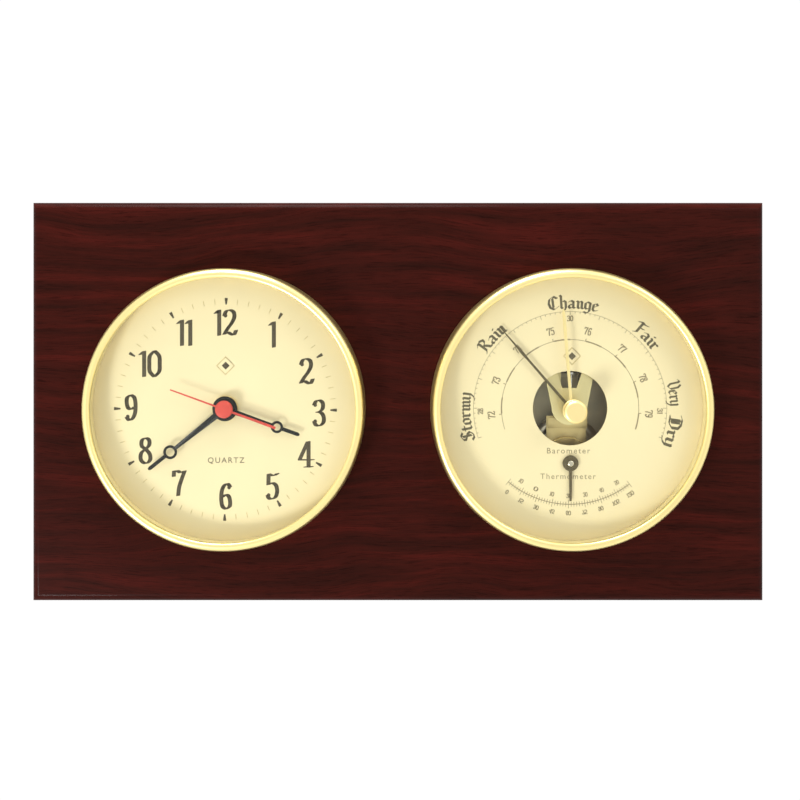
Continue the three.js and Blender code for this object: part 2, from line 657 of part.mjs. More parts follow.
function makeSecondHand() {
  const { back, front, cap, length, tail } = SECOND_HAND;
  const half = SECOND_BLADE;
  const blade = outline([[-half.tail, -tail], [half.tail, -tail], [half.tip, length], [-half.tip, length]]);
  const button = turned([
    [0, back],
    [cap, back],
    [cap, front + SECOND_BLADE.edge],
    [cap - SECOND_BLADE.slope, front + SECOND_BLADE.rim],
    [0, front + SECOND_BLADE.cap],
  ], MEDIUM);
  return cut(
    joined(plate(blade, back, front), button),
    rod(SECOND_ARBOR + FIT, back - PAST, front + 0.6, SMALL),
  );
}

// ---------------------------------------------------------------- clock

function addClock() {
  const glass = rod(GLASS.radius, GLASS.back, glassFront, LARGE);
  const face = cut(dialDisc, rod(BOSS.radius + RUNNING, DIAL_BACK - PAST, DIAL_FRONT + PAST));
  addShells(clock, 'clock', turned(caseProfile(true), LARGE), face, glass);

  const nutBack = DIAL_FRONT + GAP;
  piece(clock, 'clock_nut', cut(
    pipe(BOSS.radius + GAP, NUT.radius, nutBack, nutBack + NUT.thickness),
    block(-6, 6, nutBack + 0.6, nutBack + 2, -NUT.slot / 2, NUT.slot / 2),
  ), 'brushed_brass');

  piece(clock, 'movement_front_shell', makeFrontShell(), 'black_plastic');
  piece(clock, 'movement_cover', makeCover(), 'black_plastic');
  piece(clock, 'train_plate', makeTrainPlate(), 'white_plastic');
  piece(clock, 'circuit_board', makeCircuitBoard(), 'green_board');
  piece(clock, 'stator', makeStator(), 'dark_steel');
  piece(clock, 'drive_coil', makeCoil(), 'copper_wire');
  piece(clock, 'battery_cell', makeBattery(), 'cell_jacket');
  addContacts();
  addTrain();

  const hourHand = clockHand(HOUR_HAND, HOUR_PIPE + FIT, 2.3, 1.4);
  piece(clock, 'hour_hand', hourHand, 'black_hand', HOUR_HAND.turn);
  const minuteHand = clockHand(MINUTE_HAND, CENTRE_PIPE + FIT, 2.6, 1.6);
  piece(clock, 'minute_hand', minuteHand, 'black_hand', MINUTE_HAND.turn);
  piece(clock, 'second_hand', makeSecondHand(), 'red_hand', SECOND_HAND.turn);
}

// ---------------------------------------------------------------- barometer capsule, spring and levers

function makeCapsule() {
  const { z, radius, back, front } = CAPSULE;
  const wave = 0.35;
  const radii = [6, 9, 12];
  const ripple = (face, sign) => radii.map((r, i) => [r, face + sign * (i % 2 ? wave : -wave)]);
  return turned([
    [0, 5],
    [1.3 + RUNNING, 5],
    [1.3 + RUNNING, 3.9],
    [3, 3.9],
    [3, back],
    ...ripple(back + 0.6, -1),
    [radius, back + 1.6],
    [radius, front - 1.6],
    ...ripple(front - 0.6, 1).reverse(),
    [3, front],
    [1.2, front + 0.4],
    [1.2, 12.5],
    [2.4, 12.5],
    [2.4, 13.1],
    [0, 13.1],
  ], MEDIUM + 4, 0, z);
}

function makeBasePlate() {
  return cut(
    plate(outline(BASE.outline), BASE.back, BASE.front),
    rod(ADJUSTER.radius + RUNNING, BASE.back - PAST, BASE.front + PAST, SMALL, 0, CAPSULE.z),
  );
}

function makeAdjustingScrew() {
  const { back, front, head, headFront, radius, slot } = ADJUSTER;
  return cut(
    joined(rod(head, back, headFront), rod(radius, headFront, front)),
    block(-head - PAST, head + PAST, back - PAST, back + ADJUSTER.cut, -slot / 2, slot / 2),
  );
}

function makeLeafSpring() {
  return cut(
    block(-LEAF.half, LEAF.half, LEAF.back, LEAF.front, LEAF.bottom, LEAF.top),
    rod(1.6, 11, 14, SMALL, 0, CAPSULE.z),
  );
}

const linkZ = ROCKER.z - ROCKER.shortArm;

function makeMainLever() {
  const { x, width, back, front } = LEVER;
  return cut(
    joined(
      block(-LEAF.half + 0.5, x + width / 2, back, front, LEAF.top - 4.5, LEAF.top - 0.5),
      block(x - width / 2, x + width / 2, back, front, LEAF.top - 2, linkZ + 2),
    ),
    rod(LINK.radius + RUNNING, back - PAST, front + PAST, SMALL, x, linkZ),
  );
}

function makeLink() {
  const { radius, back, head, headBack, headFront } = LINK;
  return turned([
    [0, back],
    [radius, back],
    [radius, headBack],
    [head, headBack],
    [head, headFront],
    [0, headFront],
  ], SMALL, LEVER.x, linkZ);
}

function makeRocker() {
  const { z, depth, radius, half, arm } = ROCKER;
  const tipDepth = depth + arm;
  return cut(
    joined(
      crossRod(radius, -half, half, depth, z),
      block(CHAIN.x - 0.7, CHAIN.x + 0.7, depth, tipDepth + 0.4, z - 0.5, z + 0.5),
      block(LEVER.x - 1.6, LEVER.x + 1.6, depth - 0.4, depth + 0.4, linkZ - 1.4, z),
    ),
    rod(1.1, depth - 2, depth + 2, SMALL, LEVER.x, linkZ),
  );
}

function makeRockerFrame() {
  const { z, depth, radius, half } = ROCKER;
  const foot = BASE.front + GAP;
  const ear = (x0, x1) => block(x0, x1, foot, depth + 2, z - 2, z + 2);
  return cut(
    joined(
      block(-half + 0.2, half - 0.2, foot, foot + 1, z - 3, z + 3),
      ear(-half + 0.2, -half + 1.4),
      ear(half - 1.4, half - 0.2),
    ),
    crossRod(radius + RUNNING, -half - 1, half + 1, depth, z),
  );
}

function makeChain() {
  const tip = ROCKER.depth + ROCKER.arm;
  const half = CHAIN.thickness / 2;
  return block(CHAIN.x - half, CHAIN.x + half, tip - half, tip + half, 0.2, ROCKER.z - 0.5 - GAP);
}

function makePointerArbor() {
  return turned([
    [0, LOWER_BRIDGE.back + GAP],
    [0.4, LOWER_BRIDGE.back + GAP],
    [0.4, LOWER_BRIDGE.front + GAP],
    [0.65, LOWER_BRIDGE.front + GAP],
    [0.65, DRUM.back],
    [DRUM.radius, DRUM.back],
    [DRUM.radius, DRUM.front],
    [0.6, DRUM.front],
    [0.6, PRESSURE_HAND.front + 0.5],
    [0, PRESSURE_HAND.front + 0.5],
  ], 16);
}

function makeLowerBridge() {
  const { back, front, left, armRight, foot } = LOWER_BRIDGE;
  return cut(
    joined(
      block(-12, 12, back, front, BRIDGE.postZ - 2.5, BRIDGE.postZ + 3.5),
      block(left, armRight, back, front, -foot, BRIDGE.postZ),
      block(left, foot, back, front, -foot, foot),
    ),
    rod(0.4 + RUNNING, back - PAST, front + PAST, SMALL),
    rod(BRIDGE.post + GAP, back - PAST, front + PAST, MEDIUM, -BRIDGE.postX, BRIDGE.postZ),
    rod(BRIDGE.post + GAP, back - PAST, front + PAST, MEDIUM, BRIDGE.postX, BRIDGE.postZ),
  );
}

// The tongue that fills the middle of the dial's window, with a tapered hole near its top.
function makeBridgePlate() {
  const { back, front, postZ } = BRIDGE;
  const endRadius = 6.8;
  const arborHole = rod(0.6 + RUNNING, back - PAST, front + PAST);
  const tongue = outline([
    [-12, postZ + 3.5],
    [-12, postZ - 3],
    [-9, WINDOW - 3],
    ...arcPoints(0, 0.2, endRadius, endRadius, 180, 360, 12),
    [9, WINDOW - 3],
    [12, postZ - 3],
    [12, postZ + 3.5],
  ]);
  const opening = outline([[-2.7, 7.5], [2.7, 7.5], [5.6, 16], [-5.6, 16]]);
  return cut(plate(tongue, back, front), plate(opening, back - PAST, front + PAST), arborHole);
}

function addThermometer() {
  const { z, hub, back, front, length } = THERMOMETER;
  const legTop = DIAL_BACK - GAP;
  piece(barometer, 'thermometer_bracket', cut(
    joined(
      block(-12, 12, 14, 14.8, z - 2.7, z + 2.7),
      block(-12, -11.2, 14, legTop, z - 2.7, z + 2.7),
      block(11.2, 12, 14, legTop, z - 2.7, z + 2.7),
    ),
    rod(0.4 + RUNNING, 13, 16, SMALL, 0, z),
  ), 'dark_steel');
  piece(barometer, 'thermometer_coil', spiral(1.4, 10, 2.5, 0.5, 15.4, 17.4, 0, z), 'aged_brass');

  place(piece(barometer, 'thermometer_arbor', turned([
    [0, 14.1],
    [0.4, 14.1],
    [0.4, 14.9],
    [0.7, 14.9],
    [0.7, front + GAP],
    [1.1, front + GAP],
    [1.1, front + 0.8],
    [0, front + 0.8],
  ], 16), 'silvered'), [0, z]);

  const pointer = cut(
    joined(
      rod(hub, back, front),
      plate(outline([[-0.65, 0], [0.65, 0], [0.45, length], [-0.45, length]]), back, front),
    ),
    rod(0.7 + FIT, back - PAST, front + PAST, 16),
  );
  place(piece(barometer, 'thermometer_pointer', pointer, 'black_hand', 180), [0, z]);
}

// ---------------------------------------------------------------- barometer

function makePressureHand() {
  const { back, front, length, hub } = PRESSURE_HAND;
  const blade = outline([
    [-0.55, 0], [0.55, 0], [0.42, 24], [0.62, 27.5], [0.36, 31], [0.15, length],
    [-0.15, length], [-0.36, 31], [-0.62, 27.5], [-0.42, 24],
  ]);
  return cut(
    joined(rod(hub, back, front + 0.7), plate(blade, back, front)),
    rod(0.6 + FIT, back - 1, front + 0.6, SMALL),
  );
}

function makeSetHand() {
  const { back, front, length, hub } = SET_HAND;
  const blade = outline([[-0.55, 0], [0.55, 0], [0.55, length - 1.5], [0, length], [-0.55, length - 1.5]]);
  return cut(
    joined(rod(hub, back, front + 0.6), plate(blade, back, front)),
    rod(KNOB.shaft + FIT, back - 1, front + 2),
  );
}

function makeSetKnob() {
  const { radius, back, front, shaft } = KNOB;
  return turned([
    [0, SET_HAND.back - 0.2],
    [shaft, SET_HAND.back - 0.2],
    [shaft, back],
    [radius - 0.5, back],
    [radius, back + 0.6],
    [radius, front - 0.8],
    [radius - 0.8, front],
    [0, front],
  ], MEDIUM);
}

function addBarometer() {
  const glass = cut(
    rod(GLASS.radius, GLASS.back, glassFront, LARGE),
    rod(KNOB.shaft + 0.25, GLASS.back - PAST, glassFront + PAST),
  );
  const face = cut(
    dialDisc,
    rod(WINDOW, DIAL_BACK - PAST, DIAL_FRONT + PAST, 36),
    rod(1.4, DIAL_BACK - PAST, DIAL_FRONT + PAST, SMALL, 0, THERMOMETER.z),
  );
  const can = cut(
    turned(caseProfile(false), LARGE),
    rod(2.8, 0, 2.5, MEDIUM, 0, CAPSULE.z),
    ...[-12, 0, 12].map((x) => rod(1.2, 0, 2.5, SMALL, x, 32)),
  );
  addShells(barometer, 'barometer', can, face, glass);

  piece(barometer, 'base_plate', makeBasePlate(), 'dark_steel');
  piece(barometer, 'aneroid_capsule', makeCapsule(), 'silvered');
  place(piece(barometer, 'adjusting_screw', makeAdjustingScrew(), 'aged_brass'), [0, CAPSULE.z]);
  piece(barometer, 'spring_block',
    block(-8, 8, BASE.front + GAP, LEAF.back - GAP, -40.5, -36.5), 'aged_brass');
  piece(barometer, 'leaf_spring', makeLeafSpring(), 'aged_brass');
  piece(barometer, 'main_lever', makeMainLever(), 'aged_brass');
  piece(barometer, 'link', makeLink(), 'bright_steel');
  piece(barometer, 'rocker_frame', makeRockerFrame(), 'dark_steel');
  piece(barometer, 'rocker', makeRocker(), 'bright_steel');
  piece(barometer, 'chain', makeChain(), 'bright_steel');
  piece(barometer, 'pointer_arbor', makePointerArbor(), 'bright_steel');
  piece(barometer, 'hairspring', spiral(1.1, 4.6, 3, 0.25, 15.2, 15.7), 'blue_steel');
  piece(barometer, 'lower_bridge', makeLowerBridge(), 'brushed_brass');
  piece(barometer, 'bridge_plate', makeBridgePlate(), 'brushed_brass');
  for (const [side, x] of [['left', -BRIDGE.postX], ['right', BRIDGE.postX]]) {
    const post = rod(BRIDGE.post, BASE.front + GAP, BRIDGE.back - GAP, SMALL, x, BRIDGE.postZ);
    piece(barometer, `bridge_post_${side}`, post, 'bright_steel');
  }
  addThermometer();

  piece(barometer, 'pressure_hand', makePressureHand(), 'black_hand', PRESSURE_HAND.turn);
  piece(barometer, 'set_hand', makeSetHand(), 'polished_brass', SET_HAND.turn);
  piece(barometer, 'set_knob', makeSetKnob(), 'polished_brass');
}

addClock();
addBarometer();

export default plaque;
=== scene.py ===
"""Looks of a wall plaque with a quartz clock and an aneroid barometer with a thermometer.

Sizes are in millimetres until a piece is finished. A depth is the distance in front of the wall, so depth d
is at y = -d, and an angle on a dial is clockwise from 12 o'clock, in degrees.
"""

import math

import bmesh
import bpy
from mathutils import Matrix, Vector
from mathutils.geometry import convex_hull_2d


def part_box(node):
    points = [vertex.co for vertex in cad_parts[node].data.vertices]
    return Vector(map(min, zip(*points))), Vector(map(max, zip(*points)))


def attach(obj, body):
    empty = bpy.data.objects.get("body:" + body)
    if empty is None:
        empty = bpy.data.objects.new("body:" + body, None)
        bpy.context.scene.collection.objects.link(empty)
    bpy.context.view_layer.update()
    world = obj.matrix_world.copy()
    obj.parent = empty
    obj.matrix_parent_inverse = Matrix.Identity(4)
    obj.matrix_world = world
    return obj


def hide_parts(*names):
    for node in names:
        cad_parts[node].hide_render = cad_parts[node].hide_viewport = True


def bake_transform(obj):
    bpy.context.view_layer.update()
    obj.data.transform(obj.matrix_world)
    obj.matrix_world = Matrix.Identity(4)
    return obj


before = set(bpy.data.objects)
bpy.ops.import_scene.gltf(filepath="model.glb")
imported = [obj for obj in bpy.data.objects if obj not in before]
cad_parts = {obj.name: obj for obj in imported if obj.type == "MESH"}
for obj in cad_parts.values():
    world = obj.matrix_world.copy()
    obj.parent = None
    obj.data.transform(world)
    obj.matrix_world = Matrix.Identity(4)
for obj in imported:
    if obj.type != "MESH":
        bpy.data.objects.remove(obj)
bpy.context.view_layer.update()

MM = 0.001
FINE = 144  # steps round the bezels and dials
ROUND = 64  # steps round knobs and bosses
PIN = 28  # steps round pins


# ---- places taken from the frame

def centre_of(node):
    low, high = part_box(node)
    return (low.x + high.x) / 2 / MM, (low.z + high.z) / 2 / MM


def depths_of(node):
    low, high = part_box(node)
    return -high.y / MM, -low.y / MM


def radius_of(node):
    low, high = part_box(node)
    return (high.z - low.z) / 2 / MM


CLOCK = centre_of("clock_bezel")
BAROMETER = centre_of("barometer_bezel")
THERMOMETER = centre_of("thermometer_arbor")
BOARD_FRONT = depths_of("board")[1]
DIAL_BACK, DIAL_FRONT = depths_of("clock_dial")
GLASS_BACK, GLASS_FRONT = depths_of("clock_glass")
BEZEL_TOP = depths_of("clock_bezel")[1]
GLASS_RADIUS = 50.75
DIAL_RADIUS = 50.4


# ---- shader maths

class Signal:
    """A node's output socket, with the operators that the finishes use."""

    def __init__(self, finish, socket):
        self.finish = finish
        self.socket = socket

    def _math(self, operation, *values):
        return self.finish.node("ShaderNodeMath", dict(enumerate(values)), operation=operation)

    def __add__(self, other):
        return self._math("ADD", self, other)

    def __rsub__(self, other):
        return self._math("SUBTRACT", other, self)

    def __mul__(self, other):
        return self._math("MULTIPLY", self, other)

    def __pow__(self, other):
        return self._math("POWER", self, other)


class Finish:
    """A material with one Principled shader, and the ways to feed it."""

    def __init__(self, name, slot, colour, roughness, metallic=0.0, **constants):
        self.slot = slot
        self.material = bpy.data.materials.new(name)
        self.material.use_nodes = True
        self.tree = self.material.node_tree
        self.shader = self.tree.nodes["Principled BSDF"]
        self.colour = (*colour, 1.0)
        self.set("Base Color", self.colour)
        self.set("Roughness", roughness)
        self.set("Metallic", metallic)
        for name, value in constants.items():
            self.set(name.replace("_", " "), value)

    def _feed(self, socket, value):
        if isinstance(value, Signal):
            self.tree.links.new(value.socket, socket)
        else:
            socket.default_value = value

    def set(self, name, value):
        self._feed(self.shader.inputs[name], value)

    def node(self, kind, inputs=None, output=0, stops=None, **settings):
        made = self.tree.nodes.new(kind)
        for key, value in settings.items():
            setattr(made, key, value)
        if stops:
            ramp = made.color_ramp
            while len(ramp.elements) < len(stops):
                ramp.elements.new(0.5)
            for element, (place, colour) in zip(ramp.elements, stops):
                element.position = place
                element.color = (*colour, 1.0)
        for key, value in (inputs or {}).items():
            self._feed(made.inputs[key], value)
        return Signal(self, made.outputs[output])

    def place(self, scale=(1, 1, 1)):
        """Object coordinates through a Mapping node, in units of a millimetre."""
        where = self.node("ShaderNodeTexCoord", output="Object")
        return self.node("ShaderNodeMapping", {"Vector": where, "Scale": tuple(s / MM for s in scale)})

    def stretched(self, x, y, z):
        """A vector from three signals."""
        return self.node("ShaderNodeCombineXYZ", {"X": x, "Y": y, "Z": z})

    def noise(self, vector, scale, detail, roughness=0.5):
        return self.node("ShaderNodeTexNoise", {
            "Vector": vector,
            "Scale": scale,
            "Detail": detail,
            "Roughness": roughness,
        })

    def ramp(self, factor, stops):
        return self.node("ShaderNodeValToRGB", {"Fac": factor}, stops=stops)

    def multiply(self, factor, first, second):
        """One colour darkened by another."""
        return self.node("ShaderNodeMix", {0: factor, 6: first, 7: second}, output=2,
                         data_type="RGBA", blend_type="MULTIPLY")

    def bump(self, height, distance, strength):
        """Relief of that many millimetres."""
        normal = self.node("ShaderNodeBump", {
            "Height": height,
            "Distance": distance * MM,
            "Strength": strength,
        })
        self.set("Normal", normal)

    def mottle(self, scale, amount, roughness=None, spread=0.0):
        """Slow change of shade over the surface, and of roughness if it is given."""
        cloud = self.noise(self.place(), scale, 4.0)
        dark = tuple(c * (1 - amount) for c in self.colour[:3])
        light = tuple(min(1.0, c * (1 + amount)) for c in self.colour[:3])
        self.set("Base Color", self.ramp(cloud, [(0.3, dark), (0.7, light)]))
        if roughness is not None:
            self.set("Roughness", cloud * (2 * spread) + (roughness - spread))


# ---- finishes

def mahogany():
    """Grain along X: broad streaks that sway, fine fibres, and dark pores."""
    finish = Finish("mahogany", "mahogany", (0.04, 0.007, 0.004), 0.4,
                    Coat_Weight=0.02, Coat_Roughness=0.08, Specular_IOR_Level=0.02)
    sway = finish.noise(finish.place((0.009, 0.02, 0.02)), 1.0, 2.0)
    split = finish.node("ShaderNodeSeparateXYZ", {"Vector": finish.place()})
    x, y, z = (Signal(finish, split.socket.node.outputs[axis]) for axis in "XYZ")
    bent = z + sway * 26.0
    streak = finish.noise(finish.stretched(x * 0.014, y * 0.05, bent * 0.22), 1.0, 5.0, 0.55)
    fibre = finish.noise(finish.stretched(x * 0.06, y * 0.4, bent * 1.9), 1.0, 3.0, 0.6)
    pore = finish.noise(finish.stretched(x * 0.16, y * 1.5, bent * 5.0), 1.0, 2.0, 0.5)
    colour = finish.ramp(streak * 0.75 + fibre * 0.25, [
        (0.36, (0.020, 0.0045, 0.0030)),
        (0.46, (0.028, 0.0051, 0.0034)),
        (0.55, (0.036, 0.0057, 0.0038)),
        (0.66, (0.052, 0.0068, 0.0047)),
    ])
    pores = finish.ramp(pore, [(0.34, (0.45, 0.42, 0.4)), (0.44, (1.0, 1.0, 1.0))])
    finish.set("Base Color", finish.multiply(0.8, colour, pores))
    finish.set("Roughness", 0.42 - streak * 0.12)
    finish.bump(fibre * 0.6 + pore * 0.4, 0.05, 0.5)
    return finish


def brass(name, slot, colour, roughness, lined=0.0, scale=0.06, amount=0.05, **constants):
    """Brass in a given state. With lined above 0 it shows the fine lines of a brushed sheet."""
    finish = Finish(name, slot, colour, roughness, 1.0, **constants)
    finish.mottle(scale, amount, roughness, roughness * 0.25)
    if lined:
        lines = finish.noise(finish.place((0.3, 0.3, 14.0)), 1.0, 2.0)
        finish.bump(lines, 0.02, lined)
    else:
        finish.bump(finish.noise(finish.place(), 1.2, 3.0), 0.01, 0.12)
    return finish


def steel(name, slot, colour, roughness):
    finish = Finish(name, slot, colour, roughness, 1.0)
    finish.mottle(0.12, 0.12, roughness, 0.08)
    finish.bump(finish.noise(finish.place((9.0, 9.0, 0.4)), 1.0, 2.0), 0.02, 0.4)
    return finish


def dial_paint():
    finish = Finish("dial_cream", "cream_dial", (0.79, 0.67, 0.4), 0.5, Coat_Weight=0.1, Coat_Roughness=0.3)
    finish.mottle(0.035, 0.02, 0.5, 0.05)
    finish.bump(finish.noise(finish.place(), 5.0, 2.0), 0.004, 0.4)
    return finish


def ink(name, slot, colour):
    finish = Finish(name, slot, colour, 0.6)
    finish.mottle(1.1, 0.22)
    return finish


def hand_paint(name, slot, colour, roughness):
    finish = Finish(name, slot, colour, roughness, Coat_Weight=0.05, Coat_Roughness=0.2,
                    Specular_IOR_Level=0.25)
    finish.mottle(0.5, 0.15, roughness, 0.06)
    return finish


def moulded(name, slot, colour, roughness, relief=0.02, **constants):
    finish = Finish(name, slot, colour, roughness, **constants)
    finish.mottle(0.2, 0.08, roughness, 0.06)
    finish.bump(finish.noise(finish.place(), 4.5, 3.0, 0.6), relief, 0.6)
    return finish


def clear_glass():
    finish = Finish("clear_glass", "glass", (0.95, 0.97, 0.97), 0.02)
    haze = finish.noise(finish.place(), 0.03, 2.0)
    gloss = finish.node("ShaderNodeBsdfGlossy", {"Color": (1, 1, 1, 1), "Roughness": 0.015})
    clear = finish.node("ShaderNodeBsdfTransparent", {"Color": (0.985, 0.995, 0.985, 1)})
    facing = finish.node("ShaderNodeLayerWeight", {"Blend": 0.5}, output="Facing")
    share = (facing ** 5 * 0.96 + 0.012) * (haze * 0.3 + 0.8)
    mixed = finish.node("ShaderNodeMixShader", {0: share, 1: clear, 2: gloss})
    output = finish.tree.nodes["Material Output"]
    finish.tree.links.new(mixed.socket, output.inputs["Surface"])
    finish.tree.nodes.remove(finish.shader)
    return finish


def coil_winding():
    finish = Finish("copper_winding", "copper_wire", (0.5, 0.14, 0.035), 0.32, 0.85)
    finish.mottle(0.4, 0.2, 0.32, 0.06)
    turns = finish.node("ShaderNodeTexWave", {"Vector": finish.place(), "Scale": 1.6, "Distortion": 0.0},
                        bands_direction="X")
    finish.bump(turns, 0.06, 0.8)
    return finish


MAHOGANY = mahogany()
BEZEL_BRASS = brass("polished_brass", "polished_brass", (1.0, 0.83, 0.35), 0.36, scale=0.03, amount=0.02,
                    Coat_Weight=0.6, Coat_Roughness=0.22)
SET_BRASS = brass("pale_brass", "polished_brass", (0.9, 0.74, 0.36), 0.5)
KNOB_BRASS = brass("knob_brass", "polished_brass", (1.0, 0.8, 0.38), 0.42)
CASE_BRASS = brass("brushed_brass", "brushed_brass", (0.86, 0.68, 0.3), 0.32, lined=0.3)
BRIDGE_BRASS = brass("bridge_brass", "brushed_brass", (0.75, 0.65, 0.34), 0.48, lined=0.25, amount=0.06)
SPRING_BRASS = brass("spring_brass", "aged_brass", (0.8, 0.64, 0.3), 0.45, lined=0.3, amount=0.1)
DULL_BRASS = brass("dull_brass", "aged_brass", (0.5, 0.37, 0.14), 0.42, lined=0.3, amount=0.22, scale=0.1)
GLASS = clear_glass()
CREAM = dial_paint()
RING_CREAM = moulded("ring_cream", "cream_ring", (0.78, 0.66, 0.34), 0.42)
DARK_INK = ink("olive_ink", "black_hand", (0.062, 0.046, 0.018))
WORD_INK = ink("word_ink", "black_hand", (0.11, 0.09, 0.045))
GREY_INK = ink("grey_ink", "black_hand", (0.27, 0.22, 0.12))
TAN_INK = ink("tan_ink", "cream_ring", (0.56, 0.45, 0.22))
BLACK_PAINT = hand_paint("black_paint", "black_hand", (0.012, 0.012, 0.009), 0.38)
BRONZE_PAINT = hand_paint("bronze_paint", "black_hand", (0.1, 0.078, 0.036), 0.45)
RED_PAINT = hand_paint("red_paint", "red_hand", (0.6, 0.075, 0.055), 0.42)
DARK_STEEL = steel("dark_steel", "dark_steel", (0.2, 0.185, 0.15), 0.45)
PLATED_STEEL = steel("plated_steel", "dark_steel", (0.8, 0.73, 0.53), 0.62)
BRIGHT_STEEL = steel("bright_steel", "bright_steel", (0.6, 0.58, 0.54), 0.28)
SILVERED = steel("nickel_silver", "silvered", (0.68, 0.62, 0.48), 0.32)
BLUE_STEEL = steel("blued_steel", "blue_steel", (0.04, 0.06, 0.16), 0.25)
WINDING = coil_winding()
BLACK_PLASTIC = moulded("black_plastic", "black_plastic", (0.012, 0.012, 0.013), 0.5)
WHITE_PLASTIC = moulded("white_acetal", "white_plastic", (0.72, 0.7, 0.63), 0.42)
RUBBER = moulded("black_rubber", "black_rubber", (0.012, 0.011, 0.011), 0.78, 0.05)
GREEN_MASK = moulded("solder_mask", "green_board", (0.012, 0.1, 0.035), 0.4)
CELL_SLEEVE = moulded("cell_sleeve", "cell_jacket", (0.03, 0.055, 0.1), 0.3, 0.006, Metallic=0.3)


# ---- shaping

def soften(points, radius, closed=False, steps=3):
    """A profile with its corners rounded, each by a short curve that starts radius away from the corner."""
    count = len(points)
    rounded = []
    for i, point in enumerate(points):
        corner = Vector(point)
        if not closed and i in (0, count - 1):
            rounded.append(corner)
            continue
        before = Vector(points[i - 1]) - corner
        after = Vector(points[(i + 1) % count]) - corner
        if before.length < 1e-6 or after.length < 1e-6 or before.angle(after) > math.radians(165):
            rounded.append(corner)
            continue
        reach = min(radius, before.length * 0.45, after.length * 0.45)
        start = corner + before.normalized() * reach
        end = corner + after.normalized() * reach
        for k in range(steps + 1):
            t = k / steps
            rounded.append(start * (1 - t) ** 2 + corner * 2 * t * (1 - t) + end * t ** 2)
    return [tuple(p) for p in rounded]


def arc(centre, radii, start, end, steps):
    """Points of an ellipse's arc, by angles in degrees from the first axis."""
    angles = [math.radians(start + (end - start) * k / steps) for k in range(steps + 1)]
    return [(centre[0] + radii[0] * math.cos(a), centre[1] + radii[1] * math.sin(a)) for a in angles]


def turn(bm, profile, centre=(0, 0), steps=ROUND, rounding=0.0):
    """Turns a profile of (radius, depth) about an axis along Y through a centre (x, z)."""
    closed = profile[0][0] > 0
    if rounding:
        profile = soften(profile, rounding, closed)
    ring = [bm.verts.new((centre[0] + r, -d, centre[1])) for r, d in profile]
    edges = [bm.edges.new(pair) for pair in zip(ring, ring[1:])]
    if closed:
        edges.append(bm.edges.new((ring[-1], ring[0])))
    bmesh.ops.spin(bm, geom=ring + edges, cent=(centre[0], 0, centre[1]), axis=(0, 1, 0), angle=math.tau,
                   steps=steps, use_merge=True)
    bmesh.ops.remove_doubles(bm, verts=bm.verts, dist=1e-5)


def disc(bm, radius, back, front, centre=(0, 0), steps=ROUND, rounding=0.0):
    turn(bm, [(0, back), (radius, back), (radius, front), (0, front)], centre, steps, rounding)


def tube(bm, inner, outer, back, front, centre=(0, 0), steps=ROUND, rounding=0.0):
    turn(bm, [(inner, back), (outer, back), (outer, front), (inner, front)], centre, steps, rounding)


def slab(bm, outline, back, front):
    """A flat plate with an outline in (x, z)."""
    face = bm.faces.new([bm.verts.new((x, -back, z)) for x, z in outline])
    grown = bmesh.ops.extrude_face_region(bm, geom=[face])["geom"]
    moved = [v for v in grown if isinstance(v, bmesh.types.BMVert)]
    bmesh.ops.translate(bm, verts=moved, vec=(0, back - front, 0))


def rectangle(x0, x1, z0, z1):
    return [(x0, z0), (x1, z0), (x1, z1), (x0, z1)]


def slot_across(centre, reach, half_width):
    x, z = centre
    return rectangle(x - reach, x + reach, z - half_width, z + half_width)


def mirrored(*half):
    """An outline from one half of it."""
    (x, z), *rest = half
    return [(-x, z), *half, *((-x, z) for x, z in reversed(rest) if x)]


def bevel(bm, width, segments, angle):
    """Breaks every edge that is sharper than the angle."""
    limit = math.radians(angle)
    sharp = [e for e in bm.edges if len(e.link_faces) == 2 and e.calc_face_angle(0) > limit]
    bmesh.ops.bevel(bm, geom=sharp, offset=width, offset_type="OFFSET", segments=segments, profile=0.5,
                    affect="EDGES", clamp_overlap=True, material=-1)


def rotate(bm, degrees, centre=(0, 0)):
    """Turns the whole shape clockwise about an axis along Y, as seen from the front."""
    turned = Matrix.Rotation(math.radians(degrees), 3, "Y")
    bmesh.ops.rotate(bm, verts=bm.verts, cent=(centre[0], 0, centre[1]), matrix=turned)


def move(bm, x, z, depth=0):
    bmesh.ops.translate(bm, verts=bm.verts, vec=(x, -depth, z))


def solid(*parts, cuts=()):
    """A bmesh of one closed shape: simple closed parts joined by booleans, less the cuts.

    Each part or cut is a function that fills a bmesh, followed by its arguments after the bmesh.
    """
    steps = [("UNION", part) for part in parts] + [("DIFFERENCE", hole) for hole in cuts]
    result = None
    for operation, (make, *values) in steps:
        shape = bmesh.new()
        make(shape, *values)
        bmesh.ops.recalc_face_normals(shape, faces=shape.faces)
        tool = link_mesh("tool", shape)
        shape.free()
        if result is None:
            result = tool
            continue
        boolean = result.modifiers.new("join", "BOOLEAN")
        boolean.operation = operation
        boolean.solver = "EXACT"
        boolean.object = tool
        bpy.context.view_layer.update()
        evaluated = result.evaluated_get(bpy.context.evaluated_depsgraph_get())
        joined = bpy.data.meshes.new_from_object(evaluated)
        result.modifiers.clear()
        old = result.data
        result.data = joined
        bpy.data.meshes.remove(old)
        discard(tool)
    bm = bmesh.new()
    bm.from_mesh(result.data)
    discard(result)
    bmesh.ops.remove_doubles(bm, verts=bm.verts, dist=1e-4)
    bmesh.ops.dissolve_limit(bm, angle_limit=math.radians(0.5), verts=bm.verts, edges=bm.edges)
    return bm


def link_mesh(name, bm):
    mesh = bpy.data.meshes.new(name)
    bm.to_mesh(mesh)
    made = bpy.data.objects.new(name, mesh)
    bpy.context.scene.collection.objects.link(made)
    return made


def discard(made):
    mesh = made.data
    bpy.data.objects.remove(made)
    bpy.data.meshes.remove(mesh)


